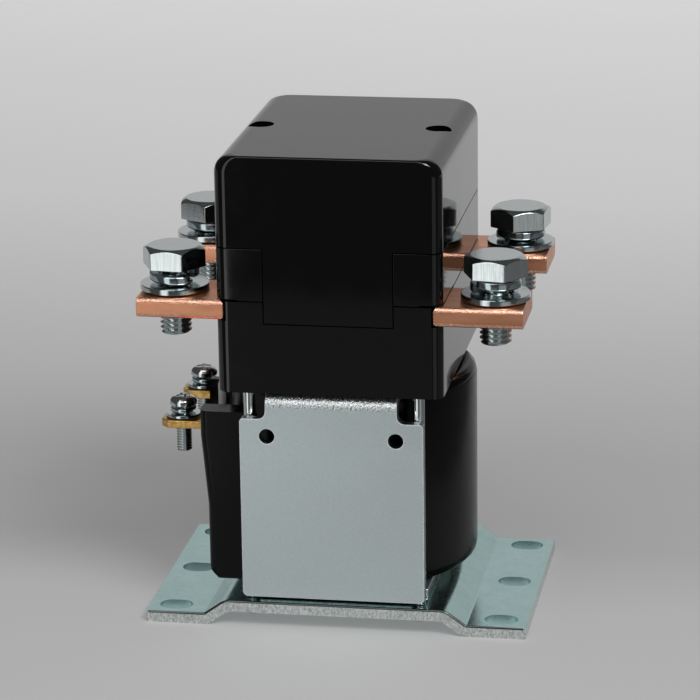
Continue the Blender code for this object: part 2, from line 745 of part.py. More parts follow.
def bobbin_and_winding(plastic, copper):
    low = COIL_BOTTOM
    high = COIL_TOP - COIL_CAP - SEAT_GAP
    tube = SLEEVE_HOLE + BOBBIN_WALL
    rim = WINDING_RADIUS + SEAT_GAP
    spool = [
        (SLEEVE_HOLE, low),
        (rim, low),
        (rim, low + BOBBIN_FLANGE),
        (tube, low + BOBBIN_FLANGE),
        (tube, high - BOBBIN_FLANGE),
        (rim, high - BOBBIN_FLANGE),
        (rim, high),
        (SLEEVE_HOLE, high),
    ]
    add_object("coil_bobbin", turned(spool, True, INNER_ROUND), plastic)
    low += BOBBIN_FLANGE + SEAT_GAP
    high -= BOBBIN_FLANGE + SEAT_GAP
    layer = ring_section(tube + SEAT_GAP, WINDING_RADIUS, low, high)
    add_object("coil_winding", turned(layer, True, INNER_ROUND), copper)


def sleeve_and_core(brass, steel):
    """The thin guide sleeve, and the fixed core whose stud sits in the pole plate."""
    inner = SLEEVE_BORE / 2
    top = YOKE_TOP - SEAT_GAP
    ring = ring_section(inner, inner + SLEEVE_WALL, COIL_BOTTOM, top)
    add_object("guide_sleeve", turned(ring, True, INNER_ROUND), brass)
    reach = inner - SEAT_GAP
    foot = PLATFORM_HEIGHT + 2 * SEAT_GAP
    profile = [
        (CORE_STUD / 2, foot),
        (CORE_STUD / 2, COIL_BOTTOM),
        (reach, COIL_BOTTOM),
        (reach, CORE_TOP - POLE_CHAMFER),
        (reach - POLE_CHAMFER, CORE_TOP),
    ]
    add_object("fixed_core", turned(profile, steps=INNER_ROUND), steel)


def armature(carrier, steel, moulding):
    """What the coil pulls down: the plunger, the rod screwed into it and the carrier of both bridges."""
    reach = SLEEVE_BORE / 2 - SLIDE_GAP
    hole = ROD_DIAMETER / 2 + SEAT_GAP
    plunger = [
        (reach - POLE_CHAMFER, PLUNGER_BOTTOM),
        (reach, PLUNGER_BOTTOM + POLE_CHAMFER),
        (reach, PLUNGER_TOP - POLE_CHAMFER),
        (reach - POLE_CHAMFER, PLUNGER_TOP),
        (hole, PLUNGER_TOP),
        (hole, PLUNGER_TOP - PLUNGER_HOLE_DEPTH),
    ]
    level = carrier.location.z
    place = (0, 0, level)
    lowered = [(radius, height - level) for radius, height in plunger]
    add_object("plunger", turned(lowered, steps=INNER_ROUND), steel, place, carrier)
    foot = PLUNGER_TOP - PLUNGER_HOLE_DEPTH + SEAT_GAP - level
    head = LEDGE_TOP + SEAT_GAP - level
    rod = [
        (ROD_DIAMETER / 2, foot),
        (ROD_DIAMETER / 2, head),
        (ROD_HEAD / 2, head),
        (ROD_HEAD / 2, head + 0.6 * ROD_HEAD_HEIGHT),
        (0.38 * ROD_HEAD, head + ROD_HEAD_HEIGHT),
    ]
    add_object("push_rod", turned(rod, steps=SMALL_ROUND), steel, place, carrier)
    contact_carrier(carrier, moulding)


def contact_carrier(carrier, moulding):
    """A moulded yoke along Y: a hub on the rod, and a window at each end that holds a bridge and its spring."""
    level = carrier.location.z
    inner = WINDOW_IN - CARRIER_POST
    hub = CARRIER_HUB / 2
    top = BEAM_BOTTOM + CARRIER_TOP_BEAM
    arm = LEDGE_TOP - CARRIER_LEDGE
    half = CARRIER_THICKNESS / 2
    outline = [(-hub, LEDGE_TOP - CARRIER_ARM, 0), (hub, LEDGE_TOP - CARRIER_ARM, 0)]
    outline += [(inner, arm, CARRIER_POST), (CARRIER_Y, arm, CARRIER_POST / 2), (CARRIER_Y, top, CARRIER_POST / 2)]
    outline += [(inner, top, CARRIER_POST / 2), (inner, LEDGE_TOP, CARRIER_POST)]
    outline += [(-u, v, radius) for u, v, radius in reversed(outline[2:])]
    lowered = [(u, v - level) for u, v in rounded(outline, 3)]
    obj = add_object("contact_carrier", prism(lowered, -half, half, "X"), moulding, (0, 0, level), carrier)
    post = turned([(hub, HUB_BOTTOM), (hub, LEDGE_TOP - SEAT_GAP / 2)])
    combine(obj, post, "UNION")
    windows = bmesh.new()
    for side in (-1, 1):
        low, high = sorted((side * WINDOW_IN, side * WINDOW_OUT))
        prism(rectangle(low, high, LEDGE_TOP, BEAM_BOTTOM), -CARRIER_THICKNESS, CARRIER_THICKNESS, "X", windows)
    combine(obj, windows)
    nub = CONTACT_SPRING_DIAMETER / 2 - CONTACT_SPRING_WIRE - SEAT_GAP
    nubs = bmesh.new()
    for side in (-1, 1):
        seat = circle((0, side * POLE_Y), nub, SMALL_ROUND)
        prism(seat, BEAM_BOTTOM - SPRING_NUB, BEAM_BOTTOM + CARRIER_TOP_BEAM / 2, bm=nubs)
    combine(obj, nubs, "UNION")
    combine(obj, turned([(ROD_DIAMETER / 2 + SEAT_GAP, BASE_BOTTOM), (ROD_DIAMETER / 2 + SEAT_GAP, top)]))


def springs(steel):
    """The return spring under the carrier's hub, and a contact spring over each bridge."""
    foot = FLOOR_TOP + SEAT_GAP
    height = HUB_BOTTOM - SEAT_GAP - foot
    spring = coil_spring(RETURN_SPRING_DIAMETER, RETURN_SPRING_WIRE, height, RETURN_SPRING_TURNS)
    add_object("return_spring", spring, steel, (0, 0, foot))
    for side, pole in ((-1, "front"), (1, "rear")):
        spring = coil_spring(
            CONTACT_SPRING_DIAMETER, CONTACT_SPRING_WIRE, CONTACT_SPRING_HEIGHT, CONTACT_SPRING_TURNS
        )
        place = (0, side * POLE_Y, BRIDGE_TOP + SEAT_GAP)
        add_object(f"contact_spring_{pole}", spring, steel, place)


def add_tip(name, silver, place, faces_up, carrier=None):
    """A contact tip: a disc with its working face slightly crowned."""
    radius = TIP_DIAMETER / 2
    edge = TIP_THICKNESS / 4
    profile = [(radius, 0), (radius, TIP_THICKNESS - edge), (radius - 2 * edge, TIP_THICKNESS)]
    if not faces_up:
        profile = [(reach, TIP_THICKNESS - height) for reach, height in profile]
    add_object(name, turned(profile, steps=SMALL_ROUND), silver, place, carrier)


def bridges(carriers, copper, silver):
    """One bridge for each pole, waisted where the carrier's window holds it."""
    end = BRIDGE_LENGTH / 2
    wide = BRIDGE_WIDTH / 2
    waist = BRIDGE_WAIST / 2
    hold = CARRIER_THICKNESS / 2 + SLIDE_GAP
    corner = BRIDGE_WIDTH / 6
    right = [(hold, -waist, 0), (hold, -wide, 0), (end, -wide, corner)]
    right += [(end, wide, corner), (hold, wide, 0), (hold, waist, 0)]
    outline = rounded(right + [(-u, v, radius) for u, v, radius in reversed(right)])
    for side, pole in ((-1, "front"), (1, "rear")):
        carrier = carriers[pole]
        add_object(
            f"bridge_{pole}",
            prism(outline, 0, BRIDGE_THICKNESS),
            copper,
            (0, side * POLE_Y, BRIDGE_BOTTOM),
            carrier,
        )
        for hand, direction in (("left", -1), ("right", 1)):
            spot = (direction * TIP_X, side * POLE_Y, MOVING_TIP)
            add_tip(f"moving_tip_{pole}_{hand}", silver, spot, False, carrier)


def busbars(copper, silver):
    """Four bars: a wide end for the bolt, and a neck through the wall to the fixed tip."""
    neck = BAR_INNER_Y + NECK_WIDTH
    for side, pole in ((-1, "front"), (1, "rear")):
        for direction, hand in ((-1, "left"), (1, "right")):
            longer = BAR_LONGER[f"{pole}_{hand}"]
            outline = [
                (NECK_END, BAR_INNER_Y),
                (BAR_REACH + longer, BAR_INNER_Y),
                (BAR_REACH + longer, BAR_OUTER_Y),
                (BAR_SHOULDER_X, BAR_OUTER_Y),
                (BAR_SHOULDER_X, neck),
                (NECK_END, neck),
            ]
            outline = [(direction * u, side * v) for u, v in outline]
            bm = prism(outline, BAR_BOTTOM, BAR_TOP)
            bevel_edges(bm, is_bar_edge, BAR_EDGE, 3)
            obj = add_object(f"busbar_{pole}_{hand}", bm, copper)
            spot = circle((direction * (BOLT_X + longer), side * BAR_Y), BOLT / 2 + SEAT_GAP)
            combine(obj, prism(spot, BAR_BOTTOM - BAR_THICKNESS, BAR_TOP + BAR_THICKNESS))
            place = (direction * TIP_X, side * POLE_Y, BAR_TOP + SEAT_GAP)
            add_tip(f"fixed_tip_{pole}_{hand}", silver, place, True)


def is_bar_edge(edge):
    """The long edges of a bar's wide end, and those across its shoulder."""
    middle = (edge.verts[0].co + edge.verts[1].co) / 2
    outside = abs(middle.y) > BAR_OUTER_Y - BAR_EDGE or abs(middle.y) < BAR_INNER_Y + BAR_EDGE
    shoulder = along(edge, "Y") and abs(abs(middle.x) - BAR_SHOULDER_X) < BAR_EDGE
    return (along(edge, "X") and outside) or shoulder


def terminal_hardware(zinc):
    """A hexagon bolt on each bar, over a split lock washer and a flat washer."""
    washer_z = BAR_TOP + SEAT_GAP
    lock_z = washer_z + BOLT_WASHER_THICKNESS + SEAT_GAP
    section = ring_section(BOLT / 2 + SEAT_GAP, BOLT_WASHER / 2, 0, BOLT_WASHER_THICKNESS, BOLT_WASHER_THICKNESS / 4)
    shared = {}
    for pole, side in (("front", -1), ("rear", 1)):
        for hand, direction in (("left", -1), ("right", 1)):
            corner = f"{pole}_{hand}"
            place = Vector((direction * (BOLT_X + BAR_LONGER[corner]), side * BAR_Y, 0))
            lock_height = BOLT_LOCK_HEIGHT[corner]
            head_z = lock_z + lock_height + SEAT_GAP
            made = (
                ("terminal_bolt", hexagon_bolt, head_z, BOLT_TURN[corner]),
                ("flat_washer", lambda: turned(section, True, INNER_ROUND), washer_z, 0),
            )
            for kind, shape, height, turn in made:
                name = f"{kind}_{corner}"
                spot = place + Vector((0, 0, height))
                if kind in shared:
                    obj = place_object(name, shared[kind], spot)
                else:
                    obj = add_object(name, shape(), zinc, spot)
                    shared[kind] = obj.data
                obj.rotation_euler.z = math.radians(turn)
            washer = lock_washer(BOLT + SLIDE_GAP, BOLT_LOCK_SECTION, lock_height)
            spot = place + Vector((0, 0, lock_z))
            obj = add_object(f"lock_washer_{corner}", washer, zinc, spot)
            obj.rotation_euler.z = math.radians(LOCK_TURN[corner])


def hexagon_bolt():
    """A bolt whose head stands on z = 0: the shank's end and the head's corners are chamfered."""
    steps = 4
    count = 6 * steps
    radius = BOLT / 2
    tip = BOLT / 10
    top = BOLT_HEAD_TOP / 2
    rings = [
        [(u, v, height) for u, v in circle((0, 0), reach, count)]
        for reach, height in ((radius - tip, -BOLT_LENGTH), (radius, tip - BOLT_LENGTH), (radius, 0))
    ]
    rings.append(hexagon_ring(BOLT_FLATS, 0, None, steps))
    rings.append(hexagon_ring(BOLT_FLATS, BOLT_HEAD_HEIGHT, top, steps))
    rings.append([(u, v, BOLT_HEAD_HEIGHT) for u, v in circle((0, 0), top, count)])
    return loft(rings)


def tie_screws(zinc):
    """Four long screws from the base's floor, past the coil and the pole plate, into the bracket."""
    radius = TIE_SCREW / 2
    head = FLOOR_TOP + SEAT_GAP
    tip = PLATFORM_HEIGHT - BRACKET_SHEET - TIE_SCREW_TIP
    chamfer = TIE_SCREW / 8
    profile = [(radius - chamfer, tip - head), (radius, tip + chamfer - head), (radius, 0)]
    profile += [(TIE_SCREW_HEAD / 2, 0), (TIE_SCREW_HEAD / 2, TIE_SCREW_HEAD_HEIGHT / 2)]
    profile += [(0.36 * TIE_SCREW_HEAD, TIE_SCREW_HEAD_HEIGHT)]
    mesh = None
    for end, side in (("front", -1), ("rear", 1)):
        for hand, direction in (("left", -1), ("right", 1)):
            name = f"tie_screw_{end}_{hand}"
            place = (direction * TIE_X, side * TIE_Y, head)
            if mesh:
                place_object(name, mesh, place)
            else:
                mesh = add_object(name, turned(profile, steps=INNER_ROUND // 2), zinc, place).data


def both_sides(low, high):
    """The same stretch on the positive and on the negative side."""
    return ((low, high), (-high, -low))


def housing_outer(name, low, high, finish):
    outline = rectangle(-HALF_WIDTH, HALF_WIDTH, -HALF_DEPTH, HALF_DEPTH, HOUSING_CORNER, CORNER_STEPS)
    return add_object(name, prism(outline, low, high), finish)


def tongue_recess(low, high):
    """Where the cover's two tongues lie against a moulding."""
    half = TONGUE_WIDTH / 2 + SEAT_GAP
    bm = bmesh.new()
    for near, far in both_sides(RECESS_Y, HALF_DEPTH + SEAT_GAP):
        box(-half, half, near, far, low, high, bm)
    return bm


def four_corners(x_low, x_high, y_low, y_high, z_low, z_high):
    """The same box in all four corners."""
    bm = bmesh.new()
    for left, right in both_sides(x_low, x_high):
        for near, far in both_sides(y_low, y_high):
            box(left, right, near, far, z_low, z_high, bm)
    return bm


def bosses(low, high, diameter):
    """A column, or its bore, round each cover screw."""
    bm = bmesh.new()
    for side in (-1, 1):
        outline = circle((side * COVER_SCREW_X, 0), diameter / 2, INNER_ROUND)
        prism(outline, low, high, bm=bm)
    return bm


def arc_walls(low, high):
    """The walls between the two poles, from the screw columns in towards the carrier."""
    bm = bmesh.new()
    start = CARRIER_HUB / 2 + ARC_WALL
    for left, right in both_sides(start, COVER_SCREW_X):
        box(left, right, -ARC_WALL / 2, ARC_WALL / 2, low, high, bm)
    return bm


def housing_base(plastic):
    """The lower moulding: a floor, a shelf and pillars under the bars, and notches where they come out."""
    obj = housing_outer("housing_base", BASE_BOTTOM, BASE_TOP, plastic)
    shelf = BASE_TOP - SHELF_HEIGHT
    over = BASE_TOP + SEAT_GAP
    combine(obj, box(-INNER_X, INNER_X, -INNER_Y, INNER_Y, FLOOR_TOP, shelf))
    combine(obj, box(-SHELF_X, SHELF_X, -WALL_Y, WALL_Y, shelf - SEAT_GAP, over))
    combine(obj, tongue_recess(COVER_BOTTOM - TONGUE_DROP - SEAT_GAP, over))
    under_bar = BAR_BOTTOM - SEAT_GAP
    low, high = BAR_INNER_Y + SEAT_GAP, BAR_INNER_Y + NECK_WIDTH - SEAT_GAP
    pillars = four_corners(NECK_END + PILLAR_INSET, SHELF_X + SEAT_GAP, low, high, FLOOR_TOP - SEAT_GAP, under_bar)
    combine(obj, pillars, "UNION")
    rim = bmesh.new()
    half = MAGNET_LENGTH / 2
    for near, far in both_sides(MAGNET_Y, WALL_Y + SEAT_GAP):
        box(-half, half, near, far, BASE_TOP - MAGNET_THICKNESS, BASE_TOP, rim)
    combine(obj, rim, "UNION")
    combine(obj, bosses(FLOOR_TOP - SEAT_GAP, BASE_TOP, COVER_BOSS), "UNION")
    seat = RETURN_SPRING_DIAMETER / 2 - RETURN_SPRING_WIRE - SEAT_GAP
    seat_top = FLOOR_TOP + SPRING_SEAT_HEIGHT
    combine(obj, turned([(seat, FLOOR_TOP - SEAT_GAP), (seat, seat_top)], steps=SMALL_ROUND), "UNION")
    slots = four_corners(
        SHELF_X - SEAT_GAP, HALF_WIDTH, BAR_INNER_Y - SEAT_GAP, BAR_INNER_Y + NECK_WIDTH + SEAT_GAP, under_bar, over
    )
    combine(obj, slots)
    notch = BAR_SHOULDER_X - NOTCH_GAP
    out = HALF_WIDTH + NOTCH_GAP
    combine(obj, four_corners(notch, out, BAR_INNER_Y - SEAT_GAP, HALF_DEPTH + NOTCH_GAP, under_bar, over))
    pilot_foot = HOUSING_TOP - COVER_SCREW_RECESS - COVER_SCREW_LENGTH - SEAT_GAP
    combine(obj, bosses(pilot_foot, over, COVER_SCREW + 2 * SEAT_GAP))
    rod_hole = circle((0, 0), ROD_DIAMETER / 2 + SLIDE_GAP, SMALL_ROUND)
    floor_holes = prism(rod_hole, BASE_BOTTOM - FLOOR, seat_top + FLOOR)
    for side in (-1, 1):
        for end in (-1, 1):
            spot = circle((side * TIE_X, end * TIE_Y), TIE_SCREW / 2 + SEAT_GAP, SMALL_ROUND)
            prism(spot, BASE_BOTTOM - FLOOR, FLOOR_TOP + SEAT_GAP, bm=floor_holes)
    combine(obj, floor_holes)


def housing_middle(plastic):
    """The frame clamped over the bars, with pockets for the two magnets."""
    obj = housing_outer("housing_middle", BAR_TOP, MIDDLE_TOP, plastic)
    below, over = BAR_TOP - SEAT_GAP, MIDDLE_TOP + SEAT_GAP
    combine(obj, box(-SHELF_X, SHELF_X, -WALL_Y, WALL_Y, below, over))
    combine(obj, tongue_recess(below, over))
    start = MAGNET_LENGTH / 2 + SEAT_GAP
    back = start + MAGNET_HOOK
    front = MAGNET_Y - MAGNET_HOOK
    combine(obj, four_corners(start, back, front, WALL_Y + SEAT_GAP, BAR_TOP, MIDDLE_TOP), "UNION")
    hooks = four_corners(
        start - MAGNET_HOOK, start + SEAT_GAP, front, MAGNET_Y - SEAT_GAP, BAR_TOP, MIDDLE_TOP
    )
    combine(obj, hooks, "UNION")
    combine(obj, bosses(BAR_TOP, MIDDLE_TOP, COVER_BOSS), "UNION")
    combine(obj, arc_walls(BAR_TOP, MIDDLE_TOP), "UNION")
    combine(obj, bosses(below, over, COVER_SCREW + 2 * SEAT_GAP))
    relief = four_corners(
        SHELF_X - SEAT_GAP, HALF_WIDTH + SEAT_GAP, BAR_INNER_Y - SEAT_GAP, BAR_OUTER_Y, below, BAR_TOP + SEAT_GAP
    )
    combine(obj, relief)


def cover_outer():
    """A stack of rounded rectangles that narrow over the two long shoulders and round over at both ends."""
    shoulder = HOUSING_TOP - COVER_SHOULDER
    rim = HOUSING_TOP - HOUSING_EDGE
    rings = [(HALF_WIDTH, HALF_DEPTH, COVER_BOTTOM)]
    for step in range(SHOULDER_STEPS + 1):
        angle = math.radians(90 * step / SHOULDER_STEPS)
        height = shoulder + COVER_SHOULDER * math.sin(angle)
        over = min(max(height - rim, 0), HOUSING_EDGE)
        end = HALF_DEPTH - HOUSING_EDGE + math.sqrt(HOUSING_EDGE**2 - over**2)
        rings.append((HALF_WIDTH - COVER_SHOULDER * (1 - math.cos(angle)), end, height))
    return loft(
        [
            [(u, v, height) for u, v in rectangle(-wide, wide, -deep, deep, HOUSING_CORNER, CORNER_STEPS)]
            for wide, deep, height in rings
        ]
    )


def housing_cover(plastic):
    """The cap over both poles: rounded along its two long top edges, with a tongue down each end."""
    obj = add_object("housing_cover", cover_outer(), plastic)
    ceiling = HOUSING_TOP - COVER_TOP
    below = COVER_BOTTOM - SEAT_GAP
    inside = rounded(
        [
            (-INNER_X, below, 0),
            (INNER_X, below, 0),
            (INNER_X, ceiling, COVER_SHOULDER - SIDE_WALL),
            (-INNER_X, ceiling, COVER_SHOULDER - SIDE_WALL),
        ]
    )
    combine(obj, prism(inside, -INNER_Y, INNER_Y, "Y"))
    half = TONGUE_WIDTH / 2
    tongues = bmesh.new()
    for near, far in both_sides(TONGUE_INSIDE, HALF_DEPTH):
        box(-half, half, near, far, COVER_BOTTOM - TONGUE_DROP, COVER_BOTTOM + COVER_TOP, tongues)
    combine(obj, tongues, "UNION")
    combine(obj, bosses(COVER_BOTTOM, ceiling + SEAT_GAP, COVER_BOSS), "UNION")
    combine(obj, arc_walls(COVER_BOTTOM, ceiling + SEAT_GAP), "UNION")
    bore = COVER_SCREW / 2 + SEAT_GAP
    recess = COVER_SCREW_HEAD / 2 + SLIDE_GAP
    seat = HOUSING_TOP - COVER_SCREW_RECESS
    for side in (-1, 1):
        stepped = [(bore, below), (bore, seat), (recess, seat), (recess, HOUSING_TOP + SEAT_GAP)]
        hole = turned(stepped, steps=INNER_ROUND)
        bmesh.ops.translate(hole, verts=hole.verts, vec=(side * COVER_SCREW_X, 0, 0))
        combine(obj, hole)


def cover_screws(zinc):
    place_z = HOUSING_TOP - COVER_SCREW_RECESS + SEAT_GAP
    for side, hand in ((-1, "left"), (1, "right")):
        screw = pan_screw(COVER_SCREW, COVER_SCREW_LENGTH, COVER_SCREW_HEAD, COVER_SCREW_HEAD_HEIGHT)
        add_object(f"cover_screw_{hand}", screw, zinc, (side * COVER_SCREW_X, 0, place_z))


def magnets(ferrite):
    """A blowout magnet outside each pole, on the base's rim and in the middle frame's pocket."""
    half = MAGNET_LENGTH / 2
    low = BASE_TOP + SEAT_GAP
    for (near, far), pole in zip(both_sides(MAGNET_Y, MAGNET_BACK), ("rear", "front")):
        block = box(-half, half, near, far, low, low + MAGNET_HEIGHT)
        add_object(f"blowout_magnet_{pole}", block, ferrite)


def even_shading():
    """Keep flat faces looking flat next to the edges that a Boolean leaves."""
    for obj in bpy.context.scene.objects:
        if obj.modifiers and not obj.hide_render:
            normals = obj.modifiers.new("Even shading", "WEIGHTED_NORMAL")
            normals.keep_sharp = True


def main():
    clear_scene()
    black = material("moulded black", (0.012, 0.012, 0.012), 0.25, 0.0)
    satin_black = material("satin black", (0.015, 0.015, 0.014), 0.45, 0.0)
    zinc = material("zinc plate", (0.66, 0.71, 0.72), 0.3, 1.0)
    steel = material("bare steel", (0.45, 0.45, 0.46), 0.35, 1.0)
    copper = material("copper", (0.86, 0.47, 0.33), 0.35, 1.0)
    brass = material("brass", (0.78, 0.55, 0.22), 0.35, 1.0)
    silver = material("silver alloy", (0.80, 0.80, 0.78), 0.3, 1.0)
    white = material("carrier moulding", (0.75, 0.72, 0.64), 0.5, 0.0)
    enamel = material("enamelled wire", (0.45, 0.16, 0.06), 0.4, 0.3)
    ferrite = material("ferrite", (0.05, 0.05, 0.055), 0.6, 0.0)
    slide = add_carrier("armature_axis", (0, 0, PLUNGER_BOTTOM))
    lifts = {}
    for side, pole in ((-1, "front"), (1, "rear")):
        lifts[pole] = add_carrier(f"bridge_axis_{pole}", (0, side * POLE_Y, BRIDGE_BOTTOM))
    bracket(zinc)
    pole_plate(zinc)
    yoke(zinc)
    coil_body(satin_black)
    bobbin_and_winding(white, enamel)
    sleeve_and_core(brass, steel)
    armature(slide, steel, white)
    springs(steel)
    bridges(lifts, copper, silver)
    busbars(copper, silver)
    terminal_hardware(zinc)
    coil_terminals(brass, zinc)
    tie_screws(zinc)
    housing_base(black)
    housing_middle(black)
    housing_cover(black)
    cover_screws(zinc)
    magnets(ferrite)
    even_shading()


main()
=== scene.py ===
# %% [markdown]
# # A double-pole contactor for direct current
# A contactor is a switch that a coil works. Its solenoid stands in a steel yoke on a folded bracket, and
# the contact housing on top carries four copper bars, each with a bolt for a cable. The solids and their
# joints are already modelled. This lesson gives them their finishes, rounds their edges, replaces the
# fasteners with ones that have real threads, and sets up a camera in a small studio for a photograph.

# %% Load the solids
import json
import math

import bmesh
import bpy
from mathutils import Matrix, Vector

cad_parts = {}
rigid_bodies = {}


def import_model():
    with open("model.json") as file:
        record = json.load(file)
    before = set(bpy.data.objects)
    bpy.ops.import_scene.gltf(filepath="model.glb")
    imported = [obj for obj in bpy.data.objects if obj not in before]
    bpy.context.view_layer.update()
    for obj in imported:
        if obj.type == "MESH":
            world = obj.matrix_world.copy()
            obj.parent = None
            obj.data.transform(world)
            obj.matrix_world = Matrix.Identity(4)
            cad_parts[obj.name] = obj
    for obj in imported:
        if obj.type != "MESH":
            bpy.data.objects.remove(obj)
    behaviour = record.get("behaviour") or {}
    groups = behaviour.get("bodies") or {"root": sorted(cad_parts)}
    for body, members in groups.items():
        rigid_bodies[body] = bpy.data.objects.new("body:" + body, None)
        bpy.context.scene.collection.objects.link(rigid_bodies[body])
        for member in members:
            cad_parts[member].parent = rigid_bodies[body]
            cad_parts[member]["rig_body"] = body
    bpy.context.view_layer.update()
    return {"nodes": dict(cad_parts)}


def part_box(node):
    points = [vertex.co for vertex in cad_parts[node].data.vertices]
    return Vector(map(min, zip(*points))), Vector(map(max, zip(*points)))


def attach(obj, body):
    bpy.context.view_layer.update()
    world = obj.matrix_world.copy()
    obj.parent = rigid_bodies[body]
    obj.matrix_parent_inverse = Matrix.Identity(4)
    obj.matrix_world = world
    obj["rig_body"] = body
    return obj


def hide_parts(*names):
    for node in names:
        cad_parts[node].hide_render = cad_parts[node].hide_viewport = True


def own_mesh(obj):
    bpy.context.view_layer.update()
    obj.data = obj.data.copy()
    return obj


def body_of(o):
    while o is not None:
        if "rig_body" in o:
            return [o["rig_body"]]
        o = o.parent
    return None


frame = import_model()
nodes_to_dress = sorted(frame["nodes"])
MM = 0.001

# %% [markdown]
# ## The camera
# A product photographer stands well back and zooms in, so that the edges stay nearly parallel. A long lens
# does the same here. The camera looks down on the part by about 17 degrees, from a little right of the
# front. Its turn is built up from single rotations: upright, then tilted, then swung round the part.

# %% Camera
CAMERA_PLACE = Vector((0.144146, -0.839829, 0.319344))
CAMERA_SWING = math.radians(9.784)
CAMERA_TILT = math.radians(90 - 16.662)
CAMERA_LEAN = math.radians(-0.797)
LENS = 177.86

camera = bpy.data.objects.new("camera", bpy.data.cameras.new("camera"))
camera.data.lens = LENS
camera.data.clip_start = 0.05
turn = Matrix.Rotation(CAMERA_SWING, 4, "Z") @ Matrix.Rotation(CAMERA_TILT, 4, "X")
turn = turn @ Matrix.Rotation(CAMERA_LEAN, 4, "Z")
camera.matrix_world = Matrix.Translation(CAMERA_PLACE) @ turn
bpy.context.scene.collection.objects.link(camera)
bpy.context.scene.camera = camera
print("camera", round(CAMERA_PLACE.length, 2), "m from the part's foot")

# %% [markdown]
# ## What a finish is made of
# Every finish starts from the Principled shader with plain values for its colour, its metal and its
# roughness. Real surfaces are never that even, so a few noise patterns then vary them: one for cloudy
# colour, one for shine, and one or two as bumps. The patterns read Object coordinates, which are metres on
# the part itself, so a blotch keeps its real size on a large housing and on a small screw.

# %% Helpers for finishes
def new_finish(name, colour, roughness, metallic=0.0):
    """A material with plain values on its shader."""
    finish = bpy.data.materials.new(name)
    finish.use_nodes = True
    shader = finish.node_tree.nodes["Principled BSDF"]
    shader.inputs["Base Color"].default_value = (*colour, 1.0)
    shader.inputs["Roughness"].default_value = roughness
    shader.inputs["Metallic"].default_value = metallic
    return finish


def noise(finish, width, stretch=(1, 1, 1), detail=3.0):
    """Blotches of about that width in metres. A stretch below 1 draws them out along that axis."""
    tree = finish.node_tree
    place = tree.nodes.new("ShaderNodeTexCoord")
    mapping = tree.nodes.new("ShaderNodeMapping")
    texture = tree.nodes.new("ShaderNodeTexNoise")
    mapping.inputs["Scale"].default_value = stretch
    texture.inputs["Scale"].default_value = 1 / width
    texture.inputs["Detail"].default_value = detail
    tree.links.new(place.outputs["Object"], mapping.inputs["Vector"])
    tree.links.new(mapping.outputs["Vector"], texture.inputs["Vector"])
    return texture.outputs["Fac"]


def vary_colour(finish, pattern, dark, light):
    """The pattern's low places take the dark colour and its high places the light one."""
    tree = finish.node_tree
    ramp = tree.nodes.new("ShaderNodeValToRGB")
    ramp.color_ramp.elements[0].position = 0.32
    ramp.color_ramp.elements[1].position = 0.68
    ramp.color_ramp.elements[0].color = (*dark, 1.0)
    ramp.color_ramp.elements[1].color = (*light, 1.0)
    tree.links.new(pattern, ramp.inputs["Fac"])
    tree.links.new(ramp.outputs["Color"], tree.nodes["Principled BSDF"].inputs["Base Color"])


def vary_shine(finish, pattern, smooth, rough):
    """The roughness runs between two values as the pattern does."""
    tree = finish.node_tree
    remap = tree.nodes.new("ShaderNodeMapRange")
    for socket, value in (("From Min", 0.3), ("From Max", 0.7), ("To Min", smooth), ("To Max", rough)):
        remap.inputs[socket].default_value = value
    tree.links.new(pattern, remap.inputs["Value"])
    tree.links.new(remap.outputs["Result"], tree.nodes["Principled BSDF"].inputs["Roughness"])


def emboss(finish, pattern, depth):
    """The pattern becomes a relief of that depth in metres, on top of the reliefs already there."""
    tree = finish.node_tree
    shader = tree.nodes["Principled BSDF"]
    bump = tree.nodes.new("ShaderNodeBump")
    bump.inputs["Distance"].default_value = depth
    tree.links.new(pattern, bump.inputs["Height"])
    if shader.inputs["Normal"].is_linked:
        tree.links.new(shader.inputs["Normal"].links[0].from_socket, bump.inputs["Normal"])
    tree.links.new(bump.outputs["Normal"], shader.inputs["Normal"])


print("helpers for finishes are ready")

# %% [markdown]
# ## Zinc on pressed steel
# The bracket, the yoke and the pole plate are mild steel sheet, cut and folded in a press and then plated
# with zinc in a cool, slightly blue tone. The rolled faces are satin and a little cloudy. Where the press
# sheared the sheet, the edge is torn and sparkles. Where it folded, the skin of the steel was stretched
# and shows its grain. The punch leaves a smooth wall in a hole, and the hole's walls take the bracket's
# smoother zinc, whose slightly darker tone is painted shade. The blade draws the upper edge of a cut round,
# and that rounding is painted dark as a painted reflection. Handling rubs the yoke's edges pale. Each face
# gets its finish by where it lies.

# %% Finishes of the zinc sheet
zinc_sheet = new_finish("zinc_sheet", (0.64, 0.73, 0.74), 0.42, 1.0)
vary_colour(zinc_sheet, noise(zinc_sheet, 0.5 * MM, detail=6), (0.61, 0.69, 0.70), (0.67, 0.75, 0.76))
vary_shine(zinc_sheet, noise(zinc_sheet, 6 * MM), 0.4, 0.46)
emboss(zinc_sheet, noise(zinc_sheet, 0.45 * MM), 0.012 * MM)

zinc_teal = new_finish("zinc_teal", (0.42, 0.56, 0.56), 0.24, 1.0)
vary_colour(zinc_teal, noise(zinc_teal, 5 * MM, detail=6), (0.46, 0.68, 0.67), (0.52, 0.73, 0.73))
vary_shine(zinc_teal, noise(zinc_teal, 1.5 * MM), 0.2, 0.28)
emboss(zinc_teal, noise(zinc_teal, 0.6 * MM), 0.006 * MM)

zinc_sheared = new_finish("zinc_sheared", (0.66, 0.72, 0.69), 0.26, 1.0)
vary_colour(zinc_sheared, noise(zinc_sheared, 0.42 * MM, (1, 1, 0.6), 5), (0.42, 0.48, 0.46), (0.94, 0.97, 0.95))
emboss(zinc_sheared, noise(zinc_sheared, 0.4 * MM, (1, 1, 0.5), 5), 0.16 * MM)

